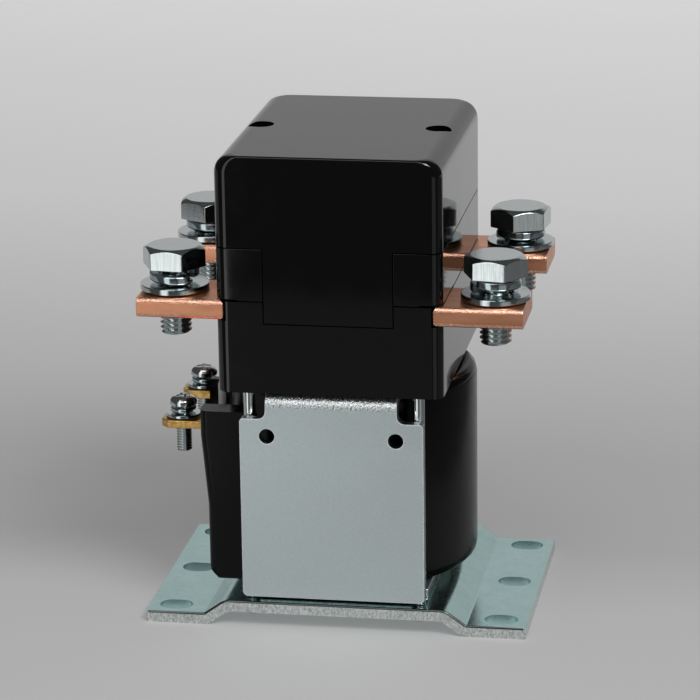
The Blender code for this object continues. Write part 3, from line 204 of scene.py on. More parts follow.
zinc_folded = new_finish("zinc_folded", (0.66, 0.70, 0.70), 0.28, 1.0)
vary_shine(zinc_folded, noise(zinc_folded, 1 * MM), 0.16, 0.34)
emboss(zinc_folded, noise(zinc_folded, 0.5 * MM, detail=4), 0.2 * MM)

zinc_rubbed = new_finish("zinc_rubbed", (0.92, 0.95, 0.95), 0.3, 0.35)
vary_colour(zinc_rubbed, noise(zinc_rubbed, 0.5 * MM), (0.6, 0.64, 0.64), (0.98, 0.99, 0.99))
emboss(zinc_rubbed, noise(zinc_rubbed, 0.5 * MM), 0.04 * MM)

# A near-black zinc for the rounded upper edge of a cut: a painted dark reflection, not the plating's own tone.
zinc_painted_dark_edge = new_finish("zinc_painted_dark_edge", (0.09, 0.10, 0.10), 0.12, 1.0)
vary_shine(zinc_painted_dark_edge, noise(zinc_painted_dark_edge, 2 * MM), 0.07, 0.14)
emboss(zinc_painted_dark_edge, noise(zinc_painted_dark_edge, 0.8 * MM), 0.006 * MM)
print("six finishes for the zinc sheet")

# %% [markdown]
# ## Zinc on fasteners
# Bolts, screws and washers are plated in a barrel, where they polish one another. They come out brighter
# than the sheet, with fine lines left from the drawing of the wire and from the die that formed the head.

# %% Finishes of the fasteners
zinc_bright = new_finish("zinc_bright", (0.58, 0.63, 0.63), 0.12, 1.0)
vary_colour(zinc_bright, noise(zinc_bright, 0.35 * MM, (1, 1, 0.05)), (0.50, 0.55, 0.55), (0.64, 0.69, 0.69))
vary_shine(zinc_bright, noise(zinc_bright, 1.5 * MM), 0.08, 0.16)
emboss(zinc_bright, noise(zinc_bright, 0.22 * MM, (1, 1, 0.05)), 0.016 * MM)
emboss(zinc_bright, noise(zinc_bright, 0.3 * MM, (0.04, 0.04, 1)), 0.006 * MM)

zinc_spring = new_finish("zinc_spring", (0.44, 0.52, 0.56), 0.14, 1.0)
vary_shine(zinc_spring, noise(zinc_spring, 1 * MM), 0.09, 0.2)
emboss(zinc_spring, noise(zinc_spring, 0.4 * MM, (1, 1, 0.2)), 0.01 * MM)
print("bright zinc and spring washers")

# %% [markdown]
# ## Black mouldings
# The housing is moulded in a hard thermoset with a polished mould, so it is nearly a mirror for the room,
# with a faint waviness from shrinking. The coil is overmoulded in a filled nylon, whose surface is fine
# and dull. Black like this has hardly any colour of its own. What is seen is almost all reflection.

# %% Finishes of the black mouldings
black_gloss = new_finish("black_gloss", (0.0015, 0.0015, 0.0013), 0.06)
vary_shine(black_gloss, noise(black_gloss, 6 * MM), 0.04, 0.08)
emboss(black_gloss, noise(black_gloss, 9 * MM, (1, 1, 0.15), 1), 0.02 * MM)
emboss(black_gloss, noise(black_gloss, 0.6 * MM), 0.0008 * MM)

black_satin = new_finish("black_satin", (0.002, 0.0022, 0.0020), 0.2)
black_satin.node_tree.nodes["Principled BSDF"].inputs["Specular IOR Level"].default_value = 0.17
vary_shine(black_satin, noise(black_satin, 4 * MM), 0.17, 0.24)
emboss(black_satin, noise(black_satin, 0.3 * MM), 0.004 * MM)
print("gloss black and satin black")

# %% [markdown]
# ## Copper and brass
# The bars are cut from drawn copper strip. Drawing leaves fine lines along the bar, the sawn end is
# duller, and the rolled corners are bright and a little crushed. The coil's two tabs are stamped brass.
# Their solder lugs are tinned.

# %% Finishes of copper, brass and tin
copper_strip = new_finish("copper_strip", (0.82, 0.37, 0.215), 0.34, 1.0)
vary_colour(copper_strip, noise(copper_strip, 4 * MM, (0.3, 1, 1)), (0.72, 0.31, 0.17), (0.88, 0.42, 0.25))
vary_shine(copper_strip, noise(copper_strip, 2 * MM, (0.2, 1, 1)), 0.28, 0.4)
emboss(copper_strip, noise(copper_strip, 0.4 * MM, (0.3, 1, 1)), 0.014 * MM)

copper_corner = new_finish("copper_corner", (0.86, 0.46, 0.32), 0.14, 1.0)
vary_shine(copper_corner, noise(copper_corner, 0.8 * MM), 0.08, 0.2)
emboss(copper_corner, noise(copper_corner, 0.4 * MM, detail=4), 0.22 * MM)

brass_stamped = new_finish("brass_stamped", (0.58, 0.36, 0.12), 0.28, 1.0)
vary_colour(brass_stamped, noise(brass_stamped, 1.2 * MM), (0.40, 0.22, 0.06), (0.78, 0.50, 0.17))
emboss(brass_stamped, noise(brass_stamped, 0.5 * MM, (0.5, 1, 1)), 0.03 * MM)

tinned = new_finish("tinned", (0.46, 0.46, 0.45), 0.4, 1.0)
vary_shine(tinned, noise(tinned, 0.8 * MM), 0.3, 0.5)
emboss(tinned, noise(tinned, 0.6 * MM), 0.02 * MM)
print("copper, brass and tin")

# %% [markdown]
# ## Finishes of the hidden pieces
# Inside are turned steel, silver alloy tips, black ferrite, pale nylon and enamelled wire. They show only
# when the part is opened, but each still gets a pattern at its own scale: turning lines on the steel,
# grains on the ferrite, and the turns of wire on the winding.

# %% Finishes of the hidden pieces
bare_steel = new_finish("bare_steel", (0.52, 0.52, 0.51), 0.3, 1.0)
vary_shine(bare_steel, noise(bare_steel, 2 * MM), 0.24, 0.4)
emboss(bare_steel, noise(bare_steel, 0.25 * MM, (0.1, 0.1, 1)), 0.01 * MM)

silver_alloy = new_finish("silver_alloy", (0.80, 0.79, 0.75), 0.3, 1.0)
vary_shine(silver_alloy, noise(silver_alloy, 1 * MM), 0.2, 0.45)
emboss(silver_alloy, noise(silver_alloy, 0.5 * MM), 0.02 * MM)

black_ferrite = new_finish("black_ferrite", (0.03, 0.03, 0.032), 0.62)
vary_colour(black_ferrite, noise(black_ferrite, 0.4 * MM), (0.022, 0.022, 0.024), (0.05, 0.05, 0.054))
emboss(black_ferrite, noise(black_ferrite, 0.3 * MM), 0.02 * MM)

pale_nylon = new_finish("pale_nylon", (0.62, 0.58, 0.48), 0.45)
vary_colour(pale_nylon, noise(pale_nylon, 8 * MM), (0.58, 0.54, 0.44), (0.66, 0.62, 0.53))
emboss(pale_nylon, noise(pale_nylon, 0.4 * MM), 0.006 * MM)

enamelled_wire = new_finish("enamelled_wire", (0.45, 0.16, 0.06), 0.28, 0.6)
vary_colour(enamelled_wire, noise(enamelled_wire, 3 * MM), (0.38, 0.12, 0.04), (0.52, 0.20, 0.08))
emboss(enamelled_wire, noise(enamelled_wire, 0.45 * MM, (0.02, 0.02, 1)), 0.1 * MM)
print("six finishes for the inside")

# %% [markdown]
# ## From a bmesh to a piece
# Each finished piece stands for one solid: it replaces that node in the picture, rides on the same body,
# and keeps the node's place, which is in the mesh itself. Shapes that are already right in the solids are
# copied, and only their edges are softened. A copy's triangles are merged and its flat faces joined first,
# because a bevel needs clean edges to follow.

# %% Helpers for pieces
SHARP = math.radians(32)


def piece_from(bm, node, slot, *finishes):
    """The bmesh becomes the piece that replaces this node."""
    mesh = bpy.data.meshes.new(f"{node}_finished")
    bm.to_mesh(mesh)
    bm.free()
    mesh.shade_smooth()
    mesh.set_sharp_from_angle(angle=SHARP)
    for finish in finishes:
        mesh.materials.append(finish)
    piece = bpy.data.objects.new(mesh.name, mesh)
    bpy.context.scene.collection.objects.link(piece)
    piece.modifiers.new("Even shading", "WEIGHTED_NORMAL").keep_sharp = True
    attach(piece, body_of(frame["nodes"][node])[0])
    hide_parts(node)
    nodes_to_dress.remove(node)
    return piece


def copy_of(node):
    """A node's shape with its triangles merged and its flat faces joined."""
    bm = bmesh.new()
    bm.from_mesh(frame["nodes"][node].data)
    bmesh.ops.remove_doubles(bm, verts=bm.verts, dist=0.001 * MM)
    bmesh.ops.dissolve_limit(bm, angle_limit=math.radians(0.5), verts=bm.verts, edges=bm.edges)
    return bm


def soften(bm, width, finish_index=-1, segments=2, chosen=lambda edge: True, clamped=True):
    """Rounds the sharp edges. The rounding keeps its neighbours' finish or takes one of its own."""
    sharp = [
        edge
        for edge in bm.edges
        if edge.is_manifold and edge.calc_face_angle() > SHARP and chosen(edge)
    ]
    bmesh.ops.bevel(
        bm,
        geom=sharp,
        offset=width,
        segments=segments,
        profile=0.5,
        affect="EDGES",
        clamp_overlap=clamped,
        material=finish_index,
    )


def middle(edge):
    return (edge.verts[0].co + edge.verts[1].co) / 2


def shift(bm, way):
    """Moves a whole bmesh."""
    bmesh.ops.translate(bm, verts=bm.verts, vec=way)


def swing(bm, angle, axis="Z"):
    """Turns a whole bmesh about an axis through the origin."""
    bmesh.ops.rotate(bm, verts=bm.verts, matrix=Matrix.Rotation(angle, 3, axis))


def verts_in(geometry):
    return [item for item in geometry if isinstance(item, bmesh.types.BMVert)]


def edges_in(geometry):
    return [item for item in geometry if isinstance(item, bmesh.types.BMEdge)]


print("helpers for pieces are ready")

# %% [markdown]
# ## The bracket, the yoke and the pole plate
# All three are sheet. Their copies need to know what the press did to each face. On the bracket the four
# outer sides are sheared, and the blade drew the upper edges of the front and rear ones round. On the yoke
# the sides, the shoulders and the feet are sheared, and the folds are the faces that look two ways at once.

# %% Sheet metal
SHEET_EDGE = 0.35 * MM
ROLLOVER = 0.5 * MM
CUT_INSET = 1.5 * MM
YOKE_SKIN = 3.5 * MM
YOKE_HOLE_DEPTH = 11.4 * MM
YOKE_HOLE_REACH = 3 * MM
YOKE_HOLE_FACET = 6 * MM * MM
ROLLED, SHEARED, FOLDED, HOLE_PAINTED_SHADE, PAINTED_DARK_EDGE, RUBBED = range(6)


def sheet_piece(node, rolled, kind_of, edge_finish, is_rolled_over=lambda edge: False):
    """A copy of a sheet whose faces are sorted by what the press did to them."""
    bm = copy_of(node)
    for face in bm.faces:
        face.material_index = kind_of(face)
    # The rolled-over edges take the near-black zinc, which is a painted dark reflection.
    soften(bm, ROLLOVER, PAINTED_DARK_EDGE, segments=4, chosen=is_rolled_over, clamped=False)
    soften(bm, SHEET_EDGE, edge_finish)
    return piece_from(bm, node, "zinc_plate", rolled, zinc_sheared, zinc_folded, zinc_teal, zinc_painted_dark_edge, zinc_rubbed)


bracket_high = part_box("mounting_bracket")[1]


def bracket_face(face):
    """The bracket's four outer sides are sheared. The walls of its slots are smooth."""
    centre = face.calc_center_median()
    inset = min(bracket_high.x - abs(centre.x), bracket_high.y - abs(centre.y))
    return SHEARED if abs(face.normal.z) < 0.3 and inset < CUT_INSET else ROLLED


def is_bracket_rollover(edge):
    """The upper edges of the front and rear sides."""
    looks_up = any(face.normal.z > 0.5 for face in edge.link_faces)
    return looks_up and any(abs(face.normal.y) > 0.99 and face.material_index == SHEARED for face in edge.link_faces)


yoke_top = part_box("magnet_yoke")[1].z


def yoke_face(face):
    """Shoulders, feet and sides are sheared, the holes are punched and take painted shade, and the bends are folded.
    """
    depth = yoke_top - face.calc_center_median().z
    if abs(face.normal.y) > 0.1 and abs(face.normal.z) > 0.1:
        return FOLDED
    # The hole walls take the bracket's smoother, slightly darker zinc; the darker tone is painted shade inside the
    # hole.
    is_small = abs(face.normal.y) < 0.2 and face.calc_area() < YOKE_HOLE_FACET
    if is_small and abs(depth - YOKE_HOLE_DEPTH) < YOKE_HOLE_REACH:
        return HOLE_PAINTED_SHADE
    is_end = abs(face.normal.z) > 0.9 and depth > YOKE_SKIN
    return SHEARED if abs(face.normal.x) > 0.3 or is_end else ROLLED


def plate_face(face):
    return SHEARED if abs(face.normal.z) < 0.3 else ROLLED


bracket = sheet_piece("mounting_bracket", zinc_teal, bracket_face, SHEARED, is_bracket_rollover)
pole_plate = sheet_piece("pole_plate", zinc_sheet, plate_face, -1)
yoke = sheet_piece("magnet_yoke", zinc_sheet, yoke_face, RUBBED)
print("sheet pieces:", [len(piece.data.polygons) for piece in (bracket, pole_plate, yoke)])

# %% [markdown]
# ## The mouldings
# A mould leaves soft corners, but the parting lines between the three mouldings of the housing stay sharp
# and dark. A bevel of a few tenths of a millimetre is enough to catch a thin line of light. Under the
# coil's terminal block the corner is rounder, so its two edges take a wider bevel first.

# %% Mouldings
MOULDED_EDGE = 0.35 * MM
COIL_EDGE = 0.4 * MM
BLOCK_ROUND = 1.1 * MM
BLOCK_CHAMFER = 4 * MM
coil_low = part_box("coil_body")[0]


def is_block_corner(edge):
    """The two edges of the chamfer under the coil's terminal block."""
    along = abs(edge.verts[0].co.y - edge.verts[1].co.y) > 5 * MM
    way_in = middle(edge) - coil_low
    return along and way_in.x < BLOCK_CHAMFER and way_in.z < BLOCK_CHAMFER + 1 * MM


def moulding(node, slot, finish, width=MOULDED_EDGE, is_rounder=lambda edge: False):
    bm = copy_of(node)
    soften(bm, BLOCK_ROUND, segments=4, chosen=is_rounder)
    soften(bm, width)
    return piece_from(bm, node, slot, finish)


housing = [moulding(f"housing_{part}", "black_moulding", black_gloss) for part in ("base", "middle", "cover")]
coil = moulding("coil_body", "coil_moulding", black_satin, COIL_EDGE, is_block_corner)
print("mouldings:", [len(piece.data.polygons) for piece in (*housing, coil)])

# %% [markdown]
# ## The copper bars
# A bar is a length of flat strip with a hole. Its long corners are rolled round and bright, so the
# rounding takes the corner finish, and it is made a little wider than on the other pieces. Where it pushes
# a point past the strip's side, the point is brought back.

# %% Copper bars
BAR_CORNER = 0.45 * MM
CORNERS = [(pole, hand) for pole in ("front", "rear") for hand in ("left", "right")]

for pole, hand in CORNERS:
    bm = copy_of(f"busbar_{pole}_{hand}")
    for face in bm.faces:
        face.material_index = int(max(abs(value) for value in face.normal) < 0.99)
    soften(bm, BAR_CORNER, finish_index=1, segments=3)
    low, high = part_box(f"busbar_{pole}_{hand}")
    for vert in bm.verts:
        vert.co.y = min(max(vert.co.y, low.y), high.y)
    piece_from(bm, f"busbar_{pole}_{hand}", "copper", copper_strip, copper_corner)
print(len(CORNERS), "bars")

# %% [markdown]
# ## A real thread
# A thread could be a bump on a cylinder, but its outline would stay smooth, and here the tips of the bolts
# stand out against the light. So it is swept. One pitch of its outline, crest, flank and root, is spun
# round the axis and climbs by one pitch a turn. The turns meet and are merged. Two planes then cut the
# ends, which are capped, and the first turn is drawn in to a point as a rolled thread is.

# %% Helpers for turned and threaded shapes
THREAD_DEPTH = 0.61
POINT_DEPTH = 0.36


def outline(points, closed=False):
    """A bmesh with a few points (radius, height) joined in the XZ plane."""
    bm = bmesh.new()
    verts = [bm.verts.new((radius, 0, height)) for radius, height in points]
    ends = verts[1:] + verts[:1] if closed else verts[1:]
    for start, end in zip(verts, ends):
        bm.edges.new((start, end))
    return bm


def everything(bm):
    return bm.verts[:] + bm.edges[:] + bm.faces[:]


def lathe(points, closed=False, steps=64):
    """The outline is spun once round Z. Points on the axis merge into poles."""
    bm = outline(points, closed)
    bmesh.ops.spin(bm, geom=everything(bm), cent=(0, 0, 0), axis=(0, 0, 1), angle=math.tau, steps=steps,
                   use_merge=True)
    bmesh.ops.remove_doubles(bm, verts=bm.verts, dist=0.001 * MM)
    bmesh.ops.recalc_face_normals(bm, faces=bm.faces)
    return bm


def cap(bm):
    """Closes every open loop."""
    open_edges = [edge for edge in bm.edges if edge.is_boundary]
    bmesh.ops.holes_fill(bm, edges=open_edges, sides=0)


def threaded_rod(diameter, pitch, low, high, steps=32):
    """A rod along Z with a thread from low to high and a pointed lower end."""
    crest = diameter / 2
    root = crest - THREAD_DEPTH * pitch
    bm = outline([(crest, 0), (crest, 0.12 * pitch), (root, 0.5 * pitch), (root, 0.66 * pitch), (crest, pitch)])
    turns = math.ceil((high - low) / pitch) + 2
    bmesh.ops.spin(bm, geom=everything(bm), cent=(0, 0, 0), axis=(0, 0, 1), angle=math.tau * turns,
                   steps=steps * turns, dvec=(0, 0, pitch / steps))
    bmesh.ops.remove_doubles(bm, verts=bm.verts, dist=0.004 * MM)
    shift(bm, (0, 0, low - 1.5 * pitch))
    for height, way in ((low, -1), (high, 1)):
        bmesh.ops.bisect_plane(bm, geom=everything(bm), dist=0.0001 * MM, plane_co=(0, 0, height),
                               plane_no=(0, 0, way), clear_outer=True)
    cap(bm)
    for vert in bm.verts:
        reach = vert.co.xy.length
        allowed = crest - POINT_DEPTH * pitch + (vert.co.z - low)
        if reach > allowed:
            vert.co.xy *= allowed / reach
    bmesh.ops.recalc_face_normals(bm, faces=bm.faces)
    return bm


def join(bm, other, move=(0, 0, 0)):
    """Adds another bmesh to this one, moved into place."""
    shift(other, move)
    part = bpy.data.meshes.new("part")
    other.to_mesh(part)
    other.free()
    bm.from_mesh(part)
    bpy.data.meshes.remove(part)


def axis_of(node):
    """The middle of a node's box in plan, at the height of its underside."""
    low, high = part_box(node)
    return Vector(((low.x + high.x) / 2, (low.y + high.y) / 2, low.z))


print("helpers for turned shapes are ready")

# %% [markdown]
# ## Hexagon bolts
# The head is forged from round wire and its top is turned off by a cone, so each corner ends in a curved
# chamfer and the top face is a circle. A ring of points is pressed out to the hexagon. It is extruded up,
# where each point drops by as much as the cone takes off there, and once more in to the circle.

# %% Hexagon bolts
BOLT = 8 * MM
BOLT_PITCH = 1.25 * MM
HEAD_FLATS = 14.2 * MM
HEAD_HEIGHT = 5.3 * MM
HEAD_TOP = 6.35 * MM
HEAD_EDGE = 0.16 * MM
CONE = math.tan(math.radians(30))
BOLT_TURN = {"front_left": -5, "front_right": -7.5, "rear_left": 32, "rear_right": 23}


def hexagon_reach(vert):
    """How far the hexagon's outline lies from the axis, in the direction of this point."""
    angle = math.degrees(math.atan2(vert.co.y, vert.co.x)) % 60
    return HEAD_FLATS / 2 / math.cos(math.radians(angle - 30))


def hexagon_head():
    """The head stands on z = 0."""
    bm = bmesh.new()
    bmesh.ops.create_circle(bm, segments=96, radius=HEAD_FLATS / 2)
    for vert in bm.verts:
        vert.co.xy *= hexagon_reach(vert) / vert.co.xy.length
    foot = bm.edges[:]
    sides = bmesh.ops.extrude_edge_only(bm, edges=foot)["geom"]
    for vert in verts_in(sides):
        vert.co.z = HEAD_HEIGHT - max(0, vert.co.xy.length - HEAD_TOP) * CONE
    rim = edges_in(sides)
    for reach, height in ((HEAD_TOP, HEAD_HEIGHT - 0.05 * MM), (HEAD_TOP - 0.3 * MM, HEAD_HEIGHT)):
        ring = bmesh.ops.extrude_edge_only(bm, edges=rim)["geom"]
        for vert in verts_in(ring):
            vert.co.xy *= reach / vert.co.xy.length
            vert.co.z = height
        rim = edges_in(ring)
    cap(bm)
    bmesh.ops.recalc_face_normals(bm, faces=bm.faces)
    soften(bm, HEAD_EDGE)
    return bm


for pole, hand in CORNERS:
    node = f"terminal_bolt_{pole}_{hand}"
    place = axis_of(node)
    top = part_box(node)[1].z
    bolt = hexagon_head()
    swing(bolt, math.radians(BOLT_TURN[f"{pole}_{hand}"]))
    shift(bolt, (place.x, place.y, top - HEAD_HEIGHT))
    join(bolt, threaded_rod(BOLT, BOLT_PITCH, place.z, top - HEAD_HEIGHT + BOLT_PITCH), (place.x, place.y, 0))
    piece_from(bolt, node, "zinc_plate", zinc_bright)
print("bolts with", math.floor((top - HEAD_HEIGHT - place.z) / BOLT_PITCH), "turns of thread")

# %% [markdown]
# ## Washers
# A split washer is one turn of square spring wire whose ends stand apart. Its section is spun through
# nearly a turn, clockwise, and climbs on the way. A flat washer is punched: one rim is drawn round by the
# die and the other stays sharp, so its outline has a wide rounding at the top and a small one below.

# %% Washers
LOCK_SECTION = 2.2 * MM
SPLIT = 0.6
WIRE_CORNER = 0.24
WASHER_PLAY = 0.3 * MM
LOCK_TURN = {"front_left": -33, "front_right": -138, "rear_left": 150, "rear_right": 198}


def wire_section(width, height, corner):
    """A small rectangle of wire in the XZ plane with its corners rounded."""
    bm = bmesh.new()
    bmesh.ops.create_grid(bm, x_segments=1, y_segments=1, size=0.5)
    bmesh.ops.scale(bm, verts=bm.verts, vec=(width, height, 1))
    bmesh.ops.bevel(bm, geom=bm.verts[:], offset=corner, segments=3, profile=0.5, affect="VERTICES", material=-1)
    swing(bm, math.radians(90), "X")
    return bm


def split_washer(bore, section, height, turn, steps=72):
    """The washer stands on z = 0, with its opening at that turn from the X axis."""
    mean = bore / 2 + section / 2
    opening = SPLIT * section / mean
    bm = wire_section(section, section, WIRE_CORNER * section)
    shift(bm, (mean, 0, section / 2))
    swing(bm, turn - opening / 2)
    bmesh.ops.spin(bm, geom=everything(bm), cent=(0, 0, 0), axis=(0, 0, 1), angle=opening - math.tau,
                   steps=steps, dvec=(0, 0, (height - section) / steps))
    bmesh.ops.recalc_face_normals(bm, faces=bm.faces)
    return bm


def flat_washer(bore, outer, height):
    """The washer stands on z = 0."""
    edge = height / 4
    points = [(bore, edge / 2), (bore + edge / 2, 0), (outer - edge / 2, 0), (outer, edge / 2)]
    points += [(outer, height - edge), (outer - 0.3 * edge, height - 0.3 * edge), (outer - edge, height)]
    points += [(bore + edge / 2, height), (bore, height - edge / 2)]
    return lathe(points, closed=True)


for pole, hand in CORNERS:
    corner = f"{pole}_{hand}"
    low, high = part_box(f"lock_washer_{corner}")
    place = axis_of(f"terminal_bolt_{corner}")
    washer = split_washer(BOLT + WASHER_PLAY, LOCK_SECTION, high.z - low.z, math.radians(LOCK_TURN[corner]))
    shift(washer, (place.x, place.y, low.z))
    piece_from(washer, f"lock_washer_{corner}", "zinc_plate", zinc_spring)

    low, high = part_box(f"flat_washer_{corner}")
    washer = flat_washer(BOLT / 2 + WASHER_PLAY, (high.x - low.x) / 2, high.z - low.z)
    shift(washer, (place.x, place.y, low.z))
    piece_from(washer, f"flat_washer_{corner}", "zinc_plate", zinc_bright)
print("washers under", len(CORNERS), "bolts")

# %% [markdown]
# ## The coil's terminals
# Each tab is stamped from brass strip. Its corners are chamfered and its rim is rounded over by the punch.
# The small lug that stands up from it is where the winding's wire is soldered, and it is tinned.

# %% Coil terminals
ENDS = ("front", "rear")
TAB_THICKNESS = 2 * MM
TAB_EDGE = 0.25 * MM

for end in ENDS:
    node = f"coil_terminal_{end}"
    bm = copy_of(node)
    tab_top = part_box(node)[0].z + TAB_THICKNESS
    for face in bm.faces:
        face.material_index = int(face.calc_center_median().z > tab_top + 0.05 * MM)
    soften(bm, TAB_EDGE)
    piece_from(bm, node, "brass", brass_stamped, tinned)
print("coil terminals")

# %% [markdown]
# ## Screws with a cross recess
# The coil's screws and the cover's are pan heads, turned from an outline with a low dome. The recess for
# the driver is cut by two crossed wedges with a live Boolean, whose result is read back, and then the
# threaded rod is added. The sizes of the dome and of the recess are shares of the head's own.

# %% Pan head screws
RECESS_WIDTH = 1.5
RECESS_BLADE = 0.3
RECESS_DEPTH = 0.72
DOME_STEPS = 10
DOME_END = math.radians(80)


def crossed_wedges(width, blade, depth):
    """Two tapered blades, pointing down, to be cut out of a screw's head at z = 0."""
    blades = []
    for turn in (0, 90):
        bm = bmesh.new()
        bmesh.ops.create_cube(bm, size=1)
        bmesh.ops.scale(bm, verts=bm.verts, vec=(width, blade, 2 * depth))
        lower = [vert for vert in bm.verts if vert.co.z < 0]
        bmesh.ops.scale(bm, verts=lower, vec=(0.45, 0.8, 1))
        swing(bm, math.radians(turn))
        blades.append(bm)
    return blades


def plain_object(bm):
    mesh = bpy.data.meshes.new("stock")
    bm.to_mesh(mesh)
    bm.free()
    made = bpy.data.objects.new("stock", mesh)
    bpy.context.scene.collection.objects.link(made)
    return made


def carve(bm, cutters):
    """Cuts each cutter out of a solid and gives the result back as a bmesh."""
    stock = plain_object(bm)
    tools = [plain_object(cutter) for cutter in cutters]
    for tool in tools:
        cut = stock.modifiers.new("Cut", "BOOLEAN")
        cut.operation = "DIFFERENCE"
        cut.solver = "EXACT"
        cut.object = tool
    result = bmesh.new()
    result.from_object(stock, bpy.context.evaluated_depsgraph_get())
    for made in (stock, *tools):
        bpy.data.objects.remove(made)
    return result


def pan_head(radius, height, turn):
    """A head on z = 0 whose sides round over into a low dome with a cross recess."""
    points = [(0, 0), (radius - 0.1 * MM, 0), (radius, 0.1 * MM)]
    for step in range(DOME_STEPS + 1):
        angle = DOME_END * step / DOME_STEPS
        reach = 0.12 + 0.88 * math.cos(angle) ** 0.8
        points.append((radius * reach, height * (0.28 + 0.71 * math.sin(angle))))
    points.append((0, height))
    head = lathe(points)
    cutters = crossed_wedges(RECESS_WIDTH * radius, RECESS_BLADE * radius, RECESS_DEPTH * height)
    for cutter in cutters:
        swing(cutter, turn)
        shift(cutter, (0, 0, height))
    return carve(head, cutters)


def pan_screw(node, diameter, pitch, head_radius, head_height, turn):
    """The screw that replaces a node, with its head's top at the top of the node's box."""
    place = axis_of(node)
    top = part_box(node)[1].z
    screw = pan_head(head_radius, head_height, turn)
    shift(screw, (place.x, place.y, top - head_height))
    rod = threaded_rod(diameter, pitch, place.z, top - 0.8 * head_height, 24)
    join(screw, rod, (place.x, place.y, 0))
    return piece_from(screw, node, "zinc_plate", zinc_bright)


COIL_SCREW = {"diameter": 4 * MM, "pitch": 0.7 * MM, "head_radius": 3.5 * MM, "head_height": 2.4 * MM}
COVER_SCREW = {"diameter": 3.5 * MM, "pitch": 0.6 * MM, "head_radius": 3 * MM, "head_height": 2.4 * MM}
COIL_SCREW_TURN = {"front": math.radians(30), "rear": math.radians(12)}
COVER_SCREW_TURN = math.radians(40)
COIL_LOCK = {"bore": 4.3 * MM, "section": 1.1 * MM, "turn": math.radians(-60)}
COIL_WASHER_BORE = 2.3 * MM

for end in ENDS:
    pan_screw(f"coil_screw_{end}", turn=COIL_SCREW_TURN[end], **COIL_SCREW)
    place = axis_of(f"coil_screw_{end}")

    low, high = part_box(f"coil_lock_washer_{end}")
    washer = split_washer(height=high.z - low.z, steps=48, **COIL_LOCK)
    shift(washer, (place.x, place.y, low.z))
    piece_from(washer, f"coil_lock_washer_{end}", "zinc_plate", zinc_spring)

    low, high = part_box(f"coil_flat_washer_{end}")
    washer = flat_washer(COIL_WASHER_BORE, (high.x - low.x) / 2, high.z - low.z)
    shift(washer, (place.x, place.y, low.z))
    piece_from(washer, f"coil_flat_washer_{end}", "zinc_plate", zinc_bright)
for hand in ("left", "right"):
    pan_screw(f"cover_screw_{hand}", turn=COVER_SCREW_TURN, **COVER_SCREW)
print("pan head screws on the coil and in the cover")

# %% [markdown]
# ## Tie screws
# Four long screws run from the housing's floor down past the coil into the bracket. Between the housing
# and the yoke's shoulder they show as bright plain shanks. Only the last part, which holds in the bracket,
# is threaded.

# %% Tie screws
TIE_RADIUS = 1.5 * MM
TIE_PITCH = 0.5 * MM
TIE_THREAD = 12 * MM
TIE_HEAD = 2 * MM

for pole, hand in CORNERS:
    node = f"tie_screw_{pole}_{hand}"
    place = axis_of(node)
    low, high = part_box(node)
    plain_from = low.z + TIE_THREAD
    head_from = high.z - TIE_HEAD
    head_radius = (high.x - low.x) / 2
    points = [(0, plain_from), (TIE_RADIUS - TIE_PITCH / 2, plain_from), (TIE_RADIUS, plain_from + TIE_PITCH)]
    points += [(TIE_RADIUS, head_from), (head_radius, head_from), (head_radius, head_from + TIE_HEAD / 2)]
    points += [(0.72 * head_radius, high.z), (0, high.z)]
    screw = lathe(points, steps=40)
    join(screw, threaded_rod(2 * TIE_RADIUS, TIE_PITCH, low.z, plain_from + TIE_PITCH, 20))
    shift(screw, (place.x, place.y, 0))
    piece_from(screw, node, "zinc_plate", zinc_bright)
print("tie screws", round((head_from - low.z) / MM, 1), "mm long")

# %% [markdown]
# ## Springs
# A compression spring is round wire wound in a helix. The section is a small circle, spun as the thread
# was. A spring shortens when the part works, and each piece here gets a mesh of its own.

# %% Springs
RETURN_WIRE = 1.2 * MM
RETURN_TURNS = 6
CONTACT_WIRE = 1 * MM
CONTACT_TURNS = 5


def spring(node, wire, turns, steps=40):
    """A helix of round wire that fills a node's box."""
    low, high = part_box(node)
    place = axis_of(node)
    mean = (high.x - low.x) / 2 - wire / 2
    climb = high.z - low.z - wire
    bm = bmesh.new()
    bmesh.ops.create_circle(bm, cap_ends=True, segments=12, radius=wire / 2)
    swing(bm, math.radians(90), "X")
    shift(bm, (mean, 0, wire / 2))
    bmesh.ops.spin(bm, geom=everything(bm), cent=(0, 0, 0), axis=(0, 0, 1), angle=math.tau * turns,
                   steps=steps * turns, dvec=(0, 0, climb / (steps * turns)))
    bmesh.ops.recalc_face_normals(bm, faces=bm.faces)
    shift(bm, place)
    return piece_from(bm, node, "bare_steel", bare_steel), low.z, high.z


piece, low_z, high_z = spring("return_spring", RETURN_WIRE, RETURN_TURNS)
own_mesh(piece)
for pole in ENDS:
    piece, low_z, high_z = spring(f"contact_spring_{pole}", CONTACT_WIRE, CONTACT_TURNS)
    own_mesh(piece)
print("three springs")

# %% [markdown]
# ## The hidden pieces
# The rest sits inside the housing and the coil. These solids have the right shape already. Each is copied,
# its edges are softened by a tenth of a millimetre or two, and it takes the finish of its material.

# %% Hidden pieces
HIDDEN_EDGE = 0.12 * MM
HIDDEN = {
    "coil_bobbin": ("pale_moulding", pale_nylon),
    "coil_winding": ("winding_wire", enamelled_wire),
    "guide_sleeve": ("brass", brass_stamped),
    "fixed_core": ("bare_steel", bare_steel),
    "plunger": ("bare_steel", bare_steel),
    "push_rod": ("bare_steel", bare_steel),
    "contact_carrier": ("pale_moulding", pale_nylon),
    "bridge": ("copper", copper_strip),
    "moving_tip": ("silver_alloy", silver_alloy),
    "fixed_tip": ("silver_alloy", silver_alloy),
    "blowout_magnet": ("ferrite", black_ferrite),
}
for node in list(nodes_to_dress):
    kind = next(name for name in HIDDEN if node.startswith(name))
    slot, finish = HIDDEN[kind]
    bm = copy_of(node)
    soften(bm, HIDDEN_EDGE)
    piece_from(bm, node, slot, finish)
print(len(nodes_to_dress), "solids left undressed")
